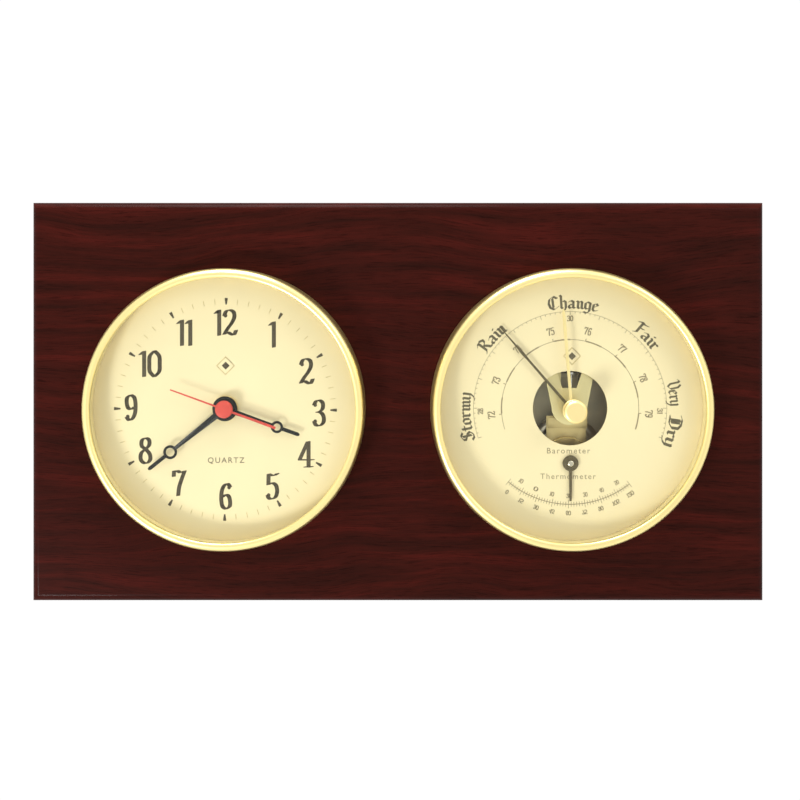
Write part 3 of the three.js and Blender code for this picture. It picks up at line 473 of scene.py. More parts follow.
def piece(bm, name, finish, body, replaced=(), smooth=32, outward=True):
    """Turns a bmesh in millimetres into a finished piece in metres, riding on the body if there is one."""
    bmesh.ops.triangulate(bm, faces=[f for f in bm.faces if len(f.verts) > 4])
    if outward:
        bmesh.ops.recalc_face_normals(bm, faces=bm.faces)
    limit = math.radians(smooth)
    for face in bm.faces:
        face.smooth = True
    for edge in bm.edges:
        edge.smooth = edge.calc_face_angle(math.pi) < limit
    bmesh.ops.scale(bm, vec=(MM, MM, MM), verts=bm.verts)
    made = link_mesh(name, bm)
    bm.free()
    made.data.materials.append(finish.material)
    if body:
        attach(made, body)
    if replaced:
        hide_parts(*replaced)
    return made


def stand_in(bm, node, finish, body, smooth=32):
    """A finished piece that takes the place of one CAD node."""
    piece(bm, f"{node}_fine", finish, body, (node,), smooth)


def turned(node, name, finish, body, profile, centre, steps, rounding=0.0, smooth=32):
    """A turned piece that stands for a CAD node."""
    bm = bmesh.new()
    turn(bm, profile, centre, steps, rounding)
    piece(bm, name, finish, body, (node,), smooth)


def refined(node, finish, body, width, segments=2):
    """A copy of a CAD node with merged points and broken edges."""
    bm = bmesh.new()
    bm.from_mesh(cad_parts[node].data)
    bmesh.ops.scale(bm, vec=(1 / MM,) * 3, verts=bm.verts)
    bmesh.ops.remove_doubles(bm, verts=bm.verts, dist=1e-3)
    bmesh.ops.dissolve_limit(bm, angle_limit=math.radians(1), verts=bm.verts, edges=bm.edges)
    bevel(bm, width, segments, 34)
    return piece(bm, f"{node}_fine", finish, body, (node,), outward=False)


# ---- pen work for the dials

def curve(*points):
    """A smooth path through the points. A straight path is a plain list of points."""
    ends = [points[0], *points, points[-1]]
    steps = 7
    path = []
    for a, b, c, d in zip(ends, ends[1:], ends[2:], ends[3:]):
        for k in range(steps):
            t = k / steps
            path.append(tuple(
                0.5 * (2 * q + (r - p) * t + (2 * p - 5 * q + 4 * r - s) * t * t
                       + (3 * q - p - 3 * r + s) * t ** 3)
                for p, q, r, s in zip(a, b, c, d)))
    path.append(points[-1])
    return path


def dot(x, y, size):
    """A round blob, as a closed path that the pen fills."""
    return ("dot", x, y, size)


# Numerals one unit high, for a broad pen held level: upright strokes are thick and level ones are hairlines.
NUMERALS = {
    "0": (0.5, [
        curve((0.25, 0), (0.07, 0.2), (0.05, 0.5), (0.07, 0.8), (0.25, 1)),
        curve((0.25, 1), (0.43, 0.8), (0.45, 0.5), (0.43, 0.2), (0.25, 0)),
    ]),
    "1": (0.32, [[(0.17, 0.01), (0.17, 0.98)], [(0.03, 0.86), (0.14, 0.96)]]),
    "2": (0.52, [
        dot(0.09, 0.77, 0.075),
        curve((0.05, 0.78), (0.12, 0.94), (0.26, 0.99), (0.41, 0.9), (0.43, 0.7), (0.33, 0.48), (0.17, 0.26),
            (0.05, 0.05)),
        curve((0.05, 0.06), (0.17, 0.13), (0.3, 0.06), (0.42, 0.03), (0.5, 0.2)),
    ]),
    "3": (0.5, [
        dot(0.09, 0.8, 0.07),
        curve((0.05, 0.82), (0.13, 0.96), (0.26, 0.99), (0.38, 0.88), (0.38, 0.68), (0.28, 0.56),
            (0.17, 0.54)),
        curve((0.17, 0.54), (0.33, 0.5), (0.42, 0.33), (0.4, 0.12), (0.25, 0), (0.11, 0.04), (0.05, 0.17)),
        dot(0.09, 0.18, 0.07),
    ]),
    "4": (0.54, [
        [(0.36, 0.01), (0.36, 0.98)],
        [(0.33, 0.98), (0.02, 0.3)],
        [(0.02, 0.28), (0.52, 0.28)],
        [(0.24, 0.01), (0.48, 0.01)],
    ]),
    "5": (0.5, [
        curve((0.1, 0.97), (0.2, 0.92), (0.32, 0.92), (0.43, 0.99)),
        [(0.09, 0.96), (0.08, 0.56)],
        curve((0.08, 0.56), (0.22, 0.63), (0.37, 0.54), (0.42, 0.32), (0.36, 0.09), (0.2, 0), (0.09, 0.05),
            (0.05, 0.15)),
        dot(0.09, 0.16, 0.07),
    ]),
    "6": (0.5, [
        dot(0.38, 0.83, 0.07),
        curve((0.42, 0.86), (0.32, 0.98), (0.2, 0.92), (0.1, 0.7), (0.08, 0.35), (0.13, 0.1), (0.26, 0)),
        curve((0.26, 0), (0.4, 0.1), (0.42, 0.3), (0.37, 0.49), (0.25, 0.56), (0.12, 0.46)),
    ]),
    "7": (0.5, [
        [(0.04, 0.76), (0.05, 0.97)],
        curve((0.05, 0.93), (0.17, 0.98), (0.3, 0.91), (0.46, 0.97)),
        curve((0.46, 0.97), (0.34, 0.64), (0.25, 0.35), (0.21, 0.02)),
    ]),
    "8": (0.5, [
        curve((0.25, 0.56), (0.1, 0.68), (0.11, 0.9), (0.26, 0.99), (0.39, 0.89), (0.38, 0.7), (0.25, 0.56)),
        curve((0.25, 0.56), (0.08, 0.4), (0.07, 0.14), (0.25, 0), (0.42, 0.13), (0.41, 0.36), (0.25, 0.56)),
    ]),
}
NUMERALS["9"] = (0.5, [
    dot(0.5 - p[1], 1 - p[2], p[3]) if p[0] == "dot" else [(0.5 - x, 1 - y) for x, y in p]
    for p in NUMERALS["6"][1]
])


def minim(x):
    """The short upright stroke that many small letters share."""
    return [(x - 0.06, 0.92), (x + 0.06, 0.82), (x + 0.06, 0.16), (x + 0.18, 0.06)]


# Broken-script letters for a broad pen held at a slant. Small letters are one unit high.
LETTERS = {
    "a": (0.68, [
        [(0.04, 0.8), (0.22, 0.95), (0.42, 0.82), (0.42, 0.16), (0.54, 0.06)],
        [(0.42, 0.54), (0.12, 0.44), (0.04, 0.3), (0.06, 0.14), (0.18, 0.04), (0.42, 0.22)],
    ]),
    "e": (0.56, [
        [(0.28, 0.95), (0.06, 0.8), (0.06, 0.18), (0.2, 0.04), (0.42, 0.16)],
        [(0.28, 0.95), (0.42, 0.74), (0.1, 0.46)],
    ]),
    "g": (0.66, [
        [(0.26, 0.95), (0.06, 0.8), (0.06, 0.24), (0.2, 0.1), (0.44, 0.24)],
        [(0.2, 0.95), (0.46, 0.84), (0.46, -0.1), (0.24, -0.4), (0, -0.26)],
    ]),
    "h": (0.68, [
        [(0, 1.6), (0.1, 1.5), (0.1, 0.16), (0.2, 0.05)],
        [(0.12, 0.76), (0.32, 0.95), (0.48, 0.8), (0.48, 0.1), (0.34, -0.22)],
    ]),
    "i": (0.34, [minim(0.06), [(0.08, 1.3), (0.13, 1.25)]]),
    "m": (0.98, [
        minim(0.06),
        [(0.12, 0.72), (0.34, 0.94)],
        minim(0.38),
        [(0.44, 0.72), (0.66, 0.94)],
        minim(0.7),
    ]),
    "n": (0.66, [minim(0.06), [(0.12, 0.72), (0.34, 0.94)], minim(0.38)]),
    "o": (0.62, [
        [(0.24, 0.96), (0.06, 0.8), (0.06, 0.2), (0.24, 0.04), (0.46, 0.2), (0.46, 0.8), (0.24, 0.96)],
    ]),
    "r": (0.52, [minim(0.06), [(0.12, 0.72), (0.3, 0.94), (0.42, 0.82)]]),
    "t": (0.46, [[(0.1, 1.24), (0.1, 0.2), (0.22, 0.05), (0.36, 0.12)], [(-0.06, 0.9), (0.34, 0.9)]]),
    "y": (0.64, [
        [(-0.02, 0.95), (0.08, 0.84), (0.08, 0.24), (0.2, 0.08), (0.46, 0.26)],
        [(0.42, 0.98), (0.48, 0.86), (0.48, 0.06), (0.3, -0.3), (0.04, -0.42)],
    ]),
    "C": (0.98, [
        [(0.82, 1.28), (0.52, 1.56), (0.16, 1.3), (0.06, 0.8), (0.16, 0.28), (0.48, 0.02), (0.84, 0.3)],
        [(0.42, 1.36), (0.42, 0.26)],
    ]),
    "D": (1.04, [
        [(0, 1.4), (0.2, 1.56), (0.6, 1.5), (0.86, 1.18), (0.86, 0.42), (0.56, 0.04), (0.06, 0.08)],
        [(0.3, 1.36), (0.3, 0.2)],
        [(0.46, 1.3), (0.46, 0.26)],
    ]),
    "F": (0.86, [
        [(0.2, 1.5), (0.32, 1.36), (0.32, 0.2), (0.12, 0)],
        [(0, 1.3), (0.2, 1.54), (0.5, 1.44), (0.8, 1.56)],
        [(0.36, 0.84), (0.68, 0.92)],
    ]),
    "R": (0.98, [
        [(0.14, 1.5), (0.26, 1.36), (0.26, 0.2), (0.08, 0)],
        [(0, 1.3), (0.4, 1.56), (0.72, 1.3), (0.66, 0.96), (0.32, 0.8)],
        [(0.42, 0.8), (0.62, 0.4), (0.7, 0.14), (0.9, 0.06)],
    ]),
    "S": (0.92, [
        [(0.78, 1.3), (0.52, 1.56), (0.16, 1.36), (0.14, 1.06), (0.6, 0.74), (0.74, 0.42), (0.5, 0.06),
            (0.2, 0.04), (0, 0.3)],
        [(0.44, 1.34), (0.44, 0.3)],
    ]),
    "V": (0.98, [
        [(0, 1.36), (0.16, 1.54), (0.26, 1.36), (0.26, 0.4), (0.5, 0.04)],
        [(0.5, 0.04), (0.82, 0.34), (0.82, 1.2), (0.6, 1.56)],
    ]),
}


class Print:
    """Thin raised ink on a dial. Each stroke stands a little higher than the last, so no two tops meet."""

    def __init__(self, centre):
        self.bm = bmesh.new()
        self.centre = centre
        self.count = 0

    def patch(self, points):
        """A closed convex patch of ink, in millimetres from the dial's centre."""
        order = convex_hull_2d([Vector(p) for p in points])
        if len(order) < 3:
            return
        self.count += 1
        low = DIAL_FRONT - 0.02
        high = DIAL_FRONT + 0.03 + 0.00002 * self.count
        x, z = self.centre
        slab(self.bm, [(x + points[k][0], z + points[k][1]) for k in order], low, high)

    def stroke(self, path, width, thickness, slant, place):
        """A path drawn by a broad pen, whose edge is width long, thickness thick and held at a slant."""
        if path[0] == "dot":
            _, x, y, size = path
            self.patch([place(x + size * math.cos(a), y + size * math.sin(a))
                        for a in (math.tau * k / 14 for k in range(14))])
            return
        along = Vector((math.cos(math.radians(slant)), math.sin(math.radians(slant)))) * width / 2
        across = Vector((-along.y, along.x)).normalized() * thickness / 2
        nib = (along + across, along - across, -along + across, -along - across)
        for start, end in zip(path, path[1:]):
            self.patch([place(p[0] + n.x, p[1] + n.y) for p in (start, end) for n in nib])

    def upright(self, text, glyphs, height, x, z, pen):
        """Text that stands upright, centred on a point."""
        total = sum(glyphs[c][0] for c in text)
        at = x - total * height / 2
        for character in text:
            advance, paths = glyphs[character]
            for path in paths:
                self.stroke(path, *pen, lambda u, v, at=at: (at + u * height, z + (v - 0.5) * height))
            at += advance * height

    def around(self, text, glyphs, height, radius, start, end, pen):
        """Text whose feet stand on a circle, from one dial angle to another."""
        total = sum(glyphs[c][0] for c in text)
        at = 0.0
        for character in text:
            advance, paths = glyphs[character]
            middle = math.radians(start + (end - start) * (at + advance / 2) / total)
            stretch = math.radians(end - start) * radius / total

            def place(u, v, middle=middle, advance=advance):
                side = (u - advance / 2) * stretch
                out = radius + v * height
                return (out * math.sin(middle) + side * math.cos(middle),
                        out * math.cos(middle) - side * math.sin(middle))

            for path in paths:
                self.stroke(path, *pen, place)
            at += advance

    def mark(self, angle, inner, outer, width, tip=None):
        """A radial mark. With a tip it narrows towards the centre."""
        a = math.radians(angle)
        tip = width if tip is None else tip
        self.patch([(r * math.sin(a) + w * math.cos(a), r * math.cos(a) - w * math.sin(a))
                    for r, full in ((inner, tip), (outer, width)) for w in (full / 2, -full / 2)])

    def bow(self, radius, width, start, end):
        """A line along a circle, in steps of about 3 degrees."""
        count = max(1, round((end - start) / 3))
        for k in range(count):
            a, b = (math.radians(start + (end - start) * j / count) for j in (k, k + 1))
            self.patch([(r * math.sin(t), r * math.cos(t)) for t in (a, b)
                        for r in (radius - width / 2, radius + width / 2)])

    def finish(self, name, finish, body):
        piece(self.bm, name, finish, body)


def typed(text, height, x, z, name, finish, body):
    """A short line of plain type, raised like the rest of the print."""
    line = bpy.data.curves.new(name, "FONT")
    line.body = text
    line.size = height / 0.7
    line.space_character = 1.25
    line.align_x = "CENTER"
    line.align_y = "CENTER"
    line.extrude = 0.025
    line.resolution_u = 3
    holder = bpy.data.objects.new(name, line)
    bpy.context.scene.collection.objects.link(holder)
    bpy.context.view_layer.update()
    evaluated = holder.evaluated_get(bpy.context.evaluated_depsgraph_get())
    flat = bpy.data.meshes.new_from_object(evaluated)
    bpy.data.objects.remove(holder)
    bm = bmesh.new()
    bm.from_mesh(flat)
    bpy.data.meshes.remove(flat)
    bmesh.ops.remove_doubles(bm, verts=bm.verts, dist=1e-5)
    bmesh.ops.rotate(bm, verts=bm.verts, cent=(0, 0, 0), matrix=Matrix.Rotation(math.pi / 2, 3, "X"))
    move(bm, x, z, DIAL_FRONT + 0.01)
    piece(bm, name, finish, body)


def lozenge(mark, z, size, x=0.0):
    """The outline of a plain four-pointed mark."""
    for k in range(4):
        a, b = (math.radians(90 * j) for j in (k, k + 1))
        mark.patch([(x + r * math.sin(t), z + r * math.cos(t)) for t in (a, b) for r in (size, size - 0.6)])


def lozenge_heart(mark, z, x=0.0):
    """The small dark middle of the mark."""
    corners = [math.radians(90 * k) for k in range(4)]
    mark.patch([(x + 1.5 * math.sin(a), z + 1.5 * math.cos(a)) for a in corners])


# ---- board and hanger

def make_board():
    low, high = (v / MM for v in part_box("board"))
    edge = 3.5
    bore = radius_of("clock_case") - 1.6

    def blank(bm):
        bmesh.ops.create_cube(bm, size=1)
        bmesh.ops.scale(bm, vec=high - low, verts=bm.verts)
        bmesh.ops.translate(bm, vec=(high + low) / 2, verts=bm.verts)
        front = [e for e in bm.edges if all(abs(v.co.y - low.y) < 0.01 for v in e.verts)]
        bmesh.ops.bevel(bm, geom=front, offset=edge, offset_type="OFFSET", segments=8, profile=0.5,
                        affect="EDGES", material=-1)

    radius = 5.5
    keyhole = arc((0, 57), (radius, radius), 0, 180, 16) + arc((0, 45), (radius, radius), 180, 360, 16)
    recess_low, recess_high = (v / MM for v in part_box("hanger_plate"))
    recess = rectangle(recess_low.x - 0.2, recess_high.x + 0.2, recess_low.z - 0.2, recess_high.z + 0.2)
    bm = solid((blank,), cuts=[
        (disc, bore, -1, BOARD_FRONT + 1, CLOCK, FINE),
        (disc, bore, -1, BOARD_FRONT + 1, BAROMETER, FINE),
        (slab, soften(recess, 3, True, 6), -1, 1.5),
        (slab, keyhole, -1, 6),
    ])
    piece(bm, "board_panel", MAHOGANY, "board", ("board",), smooth=20)


def make_hanger():
    low, high = (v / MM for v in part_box("hanger_plate"))
    back, front = -high.y, -low.y
    screws = [centre_of(f"hanger_screw_{end}") for end in ("bottom", "top")]
    plate = soften(rectangle(low.x, high.x, low.z, high.z), 3, True, 6)
    slot = arc((0, 57), (2.5, 2.5), 0, 180, 12) + [(-2.5, 47), (2.5, 47)]
    sink = [(0, -1), (3.2, -1), (3.0, back + 0.3), (1.65, front + 0.3), (0, front + 0.3)]
    bm = solid((slab, plate, back, front), cuts=[
        (disc, 4.6, -1, 3, (0, 45), 48),
        (slab, slot, -1, 3),
        *((turn, sink, centre, 32) for centre in screws),
    ])
    bevel(bm, 0.12, 2, 50)
    stand_in(bm, "hanger_plate", DULL_BRASS, "board")
    for end, centre, lean in zip(("bottom", "top"), screws, (24, -61)):
        node = f"hanger_screw_{end}"
        rear, tip = depths_of(node)
        head = [(0, rear), (2.7, rear), (2.85, rear + 0.2), (1.5, rear + 1.2), (1.45, tip - 1.5), (0, tip)]
        bm = solid((turn, head, centre, 36, 0.08), cuts=[(slab, slot_across(centre, 4, 0.35), -1, 0.5)])
        rotate(bm, lean, centre)
        stand_in(bm, node, DULL_BRASS, "board")


# ---- shells of both inserts

def make_shells(prefix, centre, body):
    outer = radius_of(f"{prefix}_bezel")
    crest = 50.6
    inner = 49.4
    lip = GLASS_FRONT + 0.1
    back = depths_of(f"{prefix}_bezel")[0]
    shoulder = 25
    seat = 50.9
    turned(f"{prefix}_bezel", f"{prefix}_bezel_ring", BEZEL_BRASS, body, [
        (seat, back),
        (outer - 0.25, back),
        (outer, back + 0.25),
        *arc((crest, shoulder), (outer - crest, BEZEL_TOP - shoulder), 0, 90, 16),
        *arc((crest, lip + 0.35), (crest - inner, BEZEL_TOP - lip - 0.35), 100, 180, 9),
        (inner + 0.05, lip),
        (seat, lip),
    ], centre, FINE, smooth=40)

    bm = bmesh.new()
    if prefix == "clock":
        disc(bm, GLASS_RADIUS, GLASS_BACK, GLASS_FRONT, centre, FINE, 0.15)
    else:
        tube(bm, 1.75, GLASS_RADIUS, GLASS_BACK, GLASS_FRONT, centre, FINE, 0.15)
    piece(bm, f"{prefix}_glass_pane", GLASS, body, (f"{prefix}_glass",))

    rear, front = depths_of(f"{prefix}_spacer")
    turned(f"{prefix}_spacer", f"{prefix}_spacer_ring", RING_CREAM, body, [
        (50.2, rear), (50.7, rear), (50.7, front), (49.7, front), (49.7, front - 0.8),
    ], centre, FINE, 0.1, 50)

    rear, front = depths_of(f"{prefix}_grip_ring")
    ribs = []
    count, valley, peak, inside = 4, 48.35, 48.85, 47.35
    for k in range(count):
        low = rear + (front - rear) * k / count
        high = rear + (front - rear) * (k + 1) / count
        ribs += [(valley, low + 0.05), (peak, low + 0.4), (peak, high - 0.4), (valley, high - 0.05)]
    turned(f"{prefix}_grip_ring", f"{prefix}_grip_band", RUBBER, body,
           [(inside, rear), *ribs, (inside, front)], centre, FINE, 0.08)


def make_case(prefix, centre, body):
    back, front = depths_of(f"{prefix}_case")
    outer, wall, flange, corner = 47.2, 0.8, 50.6, 2.2
    start = 41 if prefix == "clock" else 0
    flange_back = front - wall
    dish = [] if start else [(12, back), (13, back + 0.25), (30, back + 0.25), (31, back)]
    profile = [
        (start, back), *dish,
        *arc((outer - corner, back + corner), (corner, corner), -90, 0, 8),
        (outer, 8.4), (outer - 0.3, 8.8), (outer - 0.3, 9.6), (outer, 10),
        (outer, flange_back), (flange, flange_back), (flange, front), (outer - wall, front),
        *arc((outer - corner, back + corner), (1.4, 1.4), 0, -90, 6),
        (start, back + wall),
    ]
    if prefix == "clock":
        bm = bmesh.new()
        turn(bm, profile, centre, FINE)
    else:
        bm = solid((turn, profile, centre, FINE), cuts=[
            (disc, 2.8, -1, 3, centre_of("adjusting_screw"), 40),
            *((disc, 1.2, -1, 3, (centre[0] + x, centre[1] + 32), 24) for x in (-12, 0, 12)),
        ])
    piece(bm, f"{prefix}_case_can", CASE_BRASS, body, (f"{prefix}_case",), smooth=30)


# ---- dials

def make_clock_dial():
    body = "clock_insert"
    bm = bmesh.new()
    tube(bm, 4.0, DIAL_RADIUS, DIAL_BACK, DIAL_FRONT, CLOCK, FINE, 0.1)
    piece(bm, "clock_dial_plate", CREAM, body, ("clock_dial",))

    # centre distance and dial angle of each numeral
    places = {
        "12": (32.4, 0.0), "1": (33.3, 33.0), "2": (33.6, 65.5), "3": (35.5, 92.9), "4": (35.1, 119.7),
        "5": (34.5, 148.9), "6": (33.3, 180.0), "7": (33.4, 211.8), "8": (34.3, 242.1), "9": (35.8, 270.2),
        "10": (33.1, 300.5), "11": (32.3, 332.2),
    }
    numerals = Print(CLOCK)
    for text, (radius, angle) in places.items():
        a = math.radians(angle)
        numerals.upright(text, NUMERALS, 9.8, radius * math.sin(a), radius * math.cos(a), (0.155, 0.03, 10))
    lozenge_heart(numerals, 16.1)
    numerals.finish("clock_numerals", DARK_INK, body)

    track = (CLOCK[0] - 0.1, CLOCK[1] - 0.45)
    hours = Print(track)
    for hour in range(12):
        hours.mark(30 * hour + 0.4, 39.7, 41.7, 1.15, 0.55)
        hours.mark(30 * hour + 0.4, 41.6, 42.2, 1.1)
    hours.finish("clock_hour_marks", DARK_INK, body)

    minutes = Print(track)
    for minute in range(60):
        if minute % 5:
            minutes.mark(6 * minute + 0.4, 39.8, 41.8, 0.32)
    lozenge(minutes, 16.5, 3.6)
    minutes.finish("clock_minute_marks", TAN_INK, body)
    typed("QUARTZ", 2.1, CLOCK[0] + 0.1, CLOCK[1] - 19.8, "clock_word", WORD_INK, body)


def make_barometer_dial():
    body = "barometer_insert"
    window = 14.1
    bm = solid((tube, window, DIAL_RADIUS, DIAL_BACK, DIAL_FRONT, BAROMETER, FINE, 0.1),
               cuts=[(disc, 1.4, DIAL_BACK - 1, DIAL_FRONT + 1, THERMOMETER, 32)])
    piece(bm, "barometer_dial_plate", CREAM, body, ("barometer_dial",))

    words = Print(BAROMETER)
    for text, start, end in (("Stormy", -108, -81), ("Rain", -57, -38.5), ("Change", -12.2, 16.2),
                             ("Fair", 38.5, 55.5), ("Very", 75, 89), ("Dry", 94, 112)):
        words.around(text, LETTERS, 3.2, 37.7, start, end, (0.22, 0.05, 38))
    lozenge_heart(words, 19.7, 0.7)
    words.finish("barometer_words", WORD_INK, body)

    scale = Print(BAROMETER)
    first, last = -108, 108
    scale.bow(36.6, 0.14, first, last)
    for k in range(73):
        angle = first + (last - first) * k / 72
        scale.mark(angle, 35.2 if k % 6 == 0 else 35.9, 36.6, 0.2)
    for k in range(16):
        start = first + (last - first) * k / 16
        scale.bow(26, 0.5 if k % 2 else 0.2, start, start + (last - first) / 16)
    for number, angle in zip(range(72, 80), (-95, -69.6, -41.5, -14.2, 13, 41.3, 67.6, 94.2)):
        scale.around(str(number), NUMERALS, 2.8, 28.5, angle - 2.7, angle + 2.7, (0.14, 0.06, 10))
        scale.mark(angle, 26, 27, 0.25)
    for number, angle in (("28", -92), ("30", 0), ("31", 92)):
        scale.around(number, NUMERALS, 2.0, 33.0, angle - 1.9, angle + 1.9, (0.14, 0.08, 10))
    scale.finish("barometer_scale", GREY_INK, body)

    heat = Print(BAROMETER)
    first, last = 142, 220
    heat.bow(36.4, 0.3, first, last)
    for k in range(49):
        angle = first + (last - first) * k / 48
        heat.mark(angle, 36.4, 37.3 if k % 6 else 37.9, 0.2)
        heat.mark(angle, 35.5 if k % 6 else 34.9, 36.4, 0.2)
    for k in range(7):
        angle = 148 + 11 * k
        heat.around(str(abs(50 - 10 * k)), NUMERALS, 1.6, 32.4, angle + 1.4, angle - 1.4, (0.14, 0.08, 10))
    for k in range(9):
        angle = 145 + 9 * k
        number = str(120 - 15 * k)
        wide = 0.7 * len(number)
        heat.around(number, NUMERALS, 1.6, 38.9, angle + wide, angle - wide, (0.14, 0.08, 10))
    heat.finish("thermometer_scale", GREY_INK, body)

    mark = Print(BAROMETER)
    lozenge(mark, 19.7, 3.5, 0.7)
    mark.finish("barometer_mark", TAN_INK, body)
    x, z = BAROMETER
    typed("Barometer", 2.15, x - 0.7, z - 16.2, "barometer_word", GREY_INK, body)
    typed("Thermometer", 2.1, x - 0.8, z - 25.9, "thermometer_word", GREY_INK, body)


# ---- hands and knobs

def hand(node, finish, body, centre, degrees, edge, *parts):
    """A hand whose parts point up, with its edges broken, turned and put in place."""
    bm = solid(*parts)
    bevel(bm, edge, 2, 50)
    rotate(bm, degrees)
    move(bm, *centre)
    stand_in(bm, node, finish, body)


def make_clock_hand(node, body, degrees, hub, length, ring_at, ring, bore, root):
    """A hub, a tapered blade, an open ring and a narrow tip bar."""
    back, front = depths_of(node)
    blade = mirrored((root, bore + 0.6), (0.7, ring_at - ring + 0.3))
    tip = mirrored((0.7, ring_at + ring - 0.3), (0.7, length - 0.8), (0.35, length))
    hand(node, BLACK_PAINT, body, CLOCK, degrees, 0.07,
         (tube, bore, hub, back, front),
         (slab, blade, back, front),
         (tube, ring - 0.95, ring, back, front, (0, ring_at), 48),
         (slab, tip, back, front))


def make_second_hand():
    back, front = depths_of("second_hand")
    leaf = back + 0.2
    cap = [(0, back + 0.8), (0.6, back + 0.8), (0.6, back), (3.3, back), (3.3, back + 0.5),
           (3.0, front - 0.15), (1.5, front), (0, front)]
    hand("second_hand", RED_PAINT, "second_work", CLOCK, 290, 0.05,
         (turn, cap),
         (slab, mirrored((-0.25, 21.5), (-0.36, 1.2)), back, leaf),
         (slab, mirrored((0.5, -20.5), (0.38, -1.2)), back, leaf))


def make_pressure_hand():
    back, front = depths_of("pressure_hand")
    leaf = back + 0.4
    blade = mirrored((0.55, 1.1), (0.42, 24), (0.5, 26), (0.62, 27.5), (0.5, 29), (0.36, 31), (0.15, 41))
    boss = [(0, back + 0.9), (0.7, back + 0.9), (0.7, back), (2.2, back), (2.2, leaf), (1.6, front),
            (0, front)]
    hand("pressure_hand", BRONZE_PAINT, "pressure_hand", BAROMETER, -41, 0.06,
         (turn, boss),
         (slab, blade, back, leaf))


def make_set_hand():
    back, front = depths_of("set_hand")
    hand("set_hand", SET_BRASS, "set_hand", BAROMETER, -4.7, 0.08,
         (tube, 1.6, 2.6, back, front),
         (slab, mirrored((0.55, 2), (0.55, 36.5), (0, 38)), back, back + 0.4))

    back, front = depths_of("set_knob")
    head = 27.5
    bm = bmesh.new()
    turn(bm, [(0, back), (1.5, back), (1.5, head), (3.6, head), (4.2, head + 0.5), (4.2, head + 1.4),
              (4.0, head + 1.6), (4.0, front - 1.5), (4.2, front - 1.2), (4.2, front - 0.7),
              (3.5, front - 0.1), (2.2, front), (0, front - 0.25)], BAROMETER, 96, 0.1)
    knurl(bm, BAROMETER, 4.0, head + 1.7, front - 1.6, 0.16)
    stand_in(bm, "set_knob", KNOB_BRASS, "set_hand", 45)


def knurl(bm, centre, radius, back, front, depth):
    """Sinks every third column of points between two depths, which leaves upright ribs."""
    for vert in bm.verts:
        x, z = vert.co.x - centre[0], vert.co.z - centre[1]
        if abs(math.hypot(x, z) - radius) > 0.12 or not back - 0.3 < -vert.co.y < front + 0.3:
            continue
        column = round(math.atan2(z, x) / math.tau * 96)
        if column % 3 == 0:
            shrink = 1 - depth / radius
            vert.co.x, vert.co.z = centre[0] + x * shrink, centre[1] + z * shrink


def make_thermometer():
    back, front = depths_of("thermometer_pointer")
    hand("thermometer_pointer", BRONZE_PAINT, "thermometer_hand", THERMOMETER, 180, 0.06,
         (tube, 0.8, 3.0, back, front),
         (slab, mirrored((0.65, 1.0), (0.42, 14.3)), back, front))
    rear, tip = depths_of("thermometer_arbor")
    turned("thermometer_arbor", "thermometer_arbor_fine", SILVERED, "thermometer_hand", [
        (0, rear), (0.4, rear), (0.4, rear + 0.8), (0.7, rear + 0.9), (0.7, front + 0.1),
        (1.1, front + 0.1), (1.1, tip - 0.15), (0.8, tip), (0, tip),
    ], THERMOMETER, PIN, 0.03)


# ---- clock movement

def make_clock_works():
    body = "clock_insert"
    back, front = depths_of("clock_nut")
    bm = solid((tube, 4.0, 4.7, back, front, CLOCK, ROUND, 0.08),
               cuts=[(slab, slot_across(CLOCK, 6, 0.6), back + 0.6, front + 1)])
    stand_in(bm, "clock_nut", CASE_BRASS, body)
    for node, finish, width, segments in (
        ("movement_front_shell", BLACK_PLASTIC, 0.3, 3),
        ("movement_cover", BLACK_PLASTIC, 0.25, 3),
        ("train_plate", WHITE_PLASTIC, 0.1, 2),
        ("circuit_board", GREEN_MASK, 0.08, 2),
        ("stator", DARK_STEEL, 0.08, 2),
        ("drive_coil", WINDING, 0.1, 2),
        ("battery_contact_plus", BRIGHT_STEEL, 0.08, 2),
        ("battery_contact_minus", BRIGHT_STEEL, 0.08, 2),
    ):
        refined(node, finish, body, width, segments)
    for node, wheel_body, finish in (
        ("centre_wheel", "minute_work", CASE_BRASS),
        ("third_wheel", "third_wheel", WHITE_PLASTIC),
        ("second_wheel", "second_work", WHITE_PLASTIC),
        ("intermediate_wheel", "intermediate_wheel", WHITE_PLASTIC),
        ("rotor", "rotor", DARK_STEEL),
        ("minute_wheel", "minute_wheel", WHITE_PLASTIC),
        ("hour_wheel", "hour_work", WHITE_PLASTIC),
    ):
        refined(node, finish, wheel_body, 0.03, 1)

    low, high = (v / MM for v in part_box("battery_cell"))
    axis = ((low.y + high.y) / 2, (low.z + high.z) / 2)
    radius = (high.z - low.z) / 2
    bm = bmesh.new()
    nub = high.x - 1.3
    turn(bm, soften([
        (0, low.x + 0.2), (5.2, low.x + 0.2), (5.4, low.x), (radius, low.x), (radius, nub),
        (5.4, nub), (5.3, nub - 0.3), (2.7, nub - 0.3), (2.7, high.x), (0, high.x),
    ], 0.25), (0, 0), 72)
    bmesh.ops.rotate(bm, verts=bm.verts, cent=(0, 0, 0), matrix=Matrix.Rotation(math.pi / 2, 3, "Z"))
    bmesh.ops.translate(bm, verts=bm.verts, vec=(0, axis[0], axis[1]))
    piece(bm, "battery_sleeve", CELL_SLEEVE, body, ("battery_cell",))

    back, front = depths_of("setting_knob")
    knob = centre_of("setting_knob")
    bm = bmesh.new()
    turn(bm, [(0, back + 0.3), (3.4, back + 0.3), (3.8, back), (5.6, back), (6, back + 0.4), (6, back + 1.6),
              (5.6, back + 2), (1, back + 2), (1, front), (0, front)], knob, 96, 0.1)
    knurl(bm, knob, 6.0, back + 0.4, back + 1.6, 0.35)
    stand_in(bm, "setting_knob", WHITE_PLASTIC, "setting_knob", 45)


# ---- barometer movement

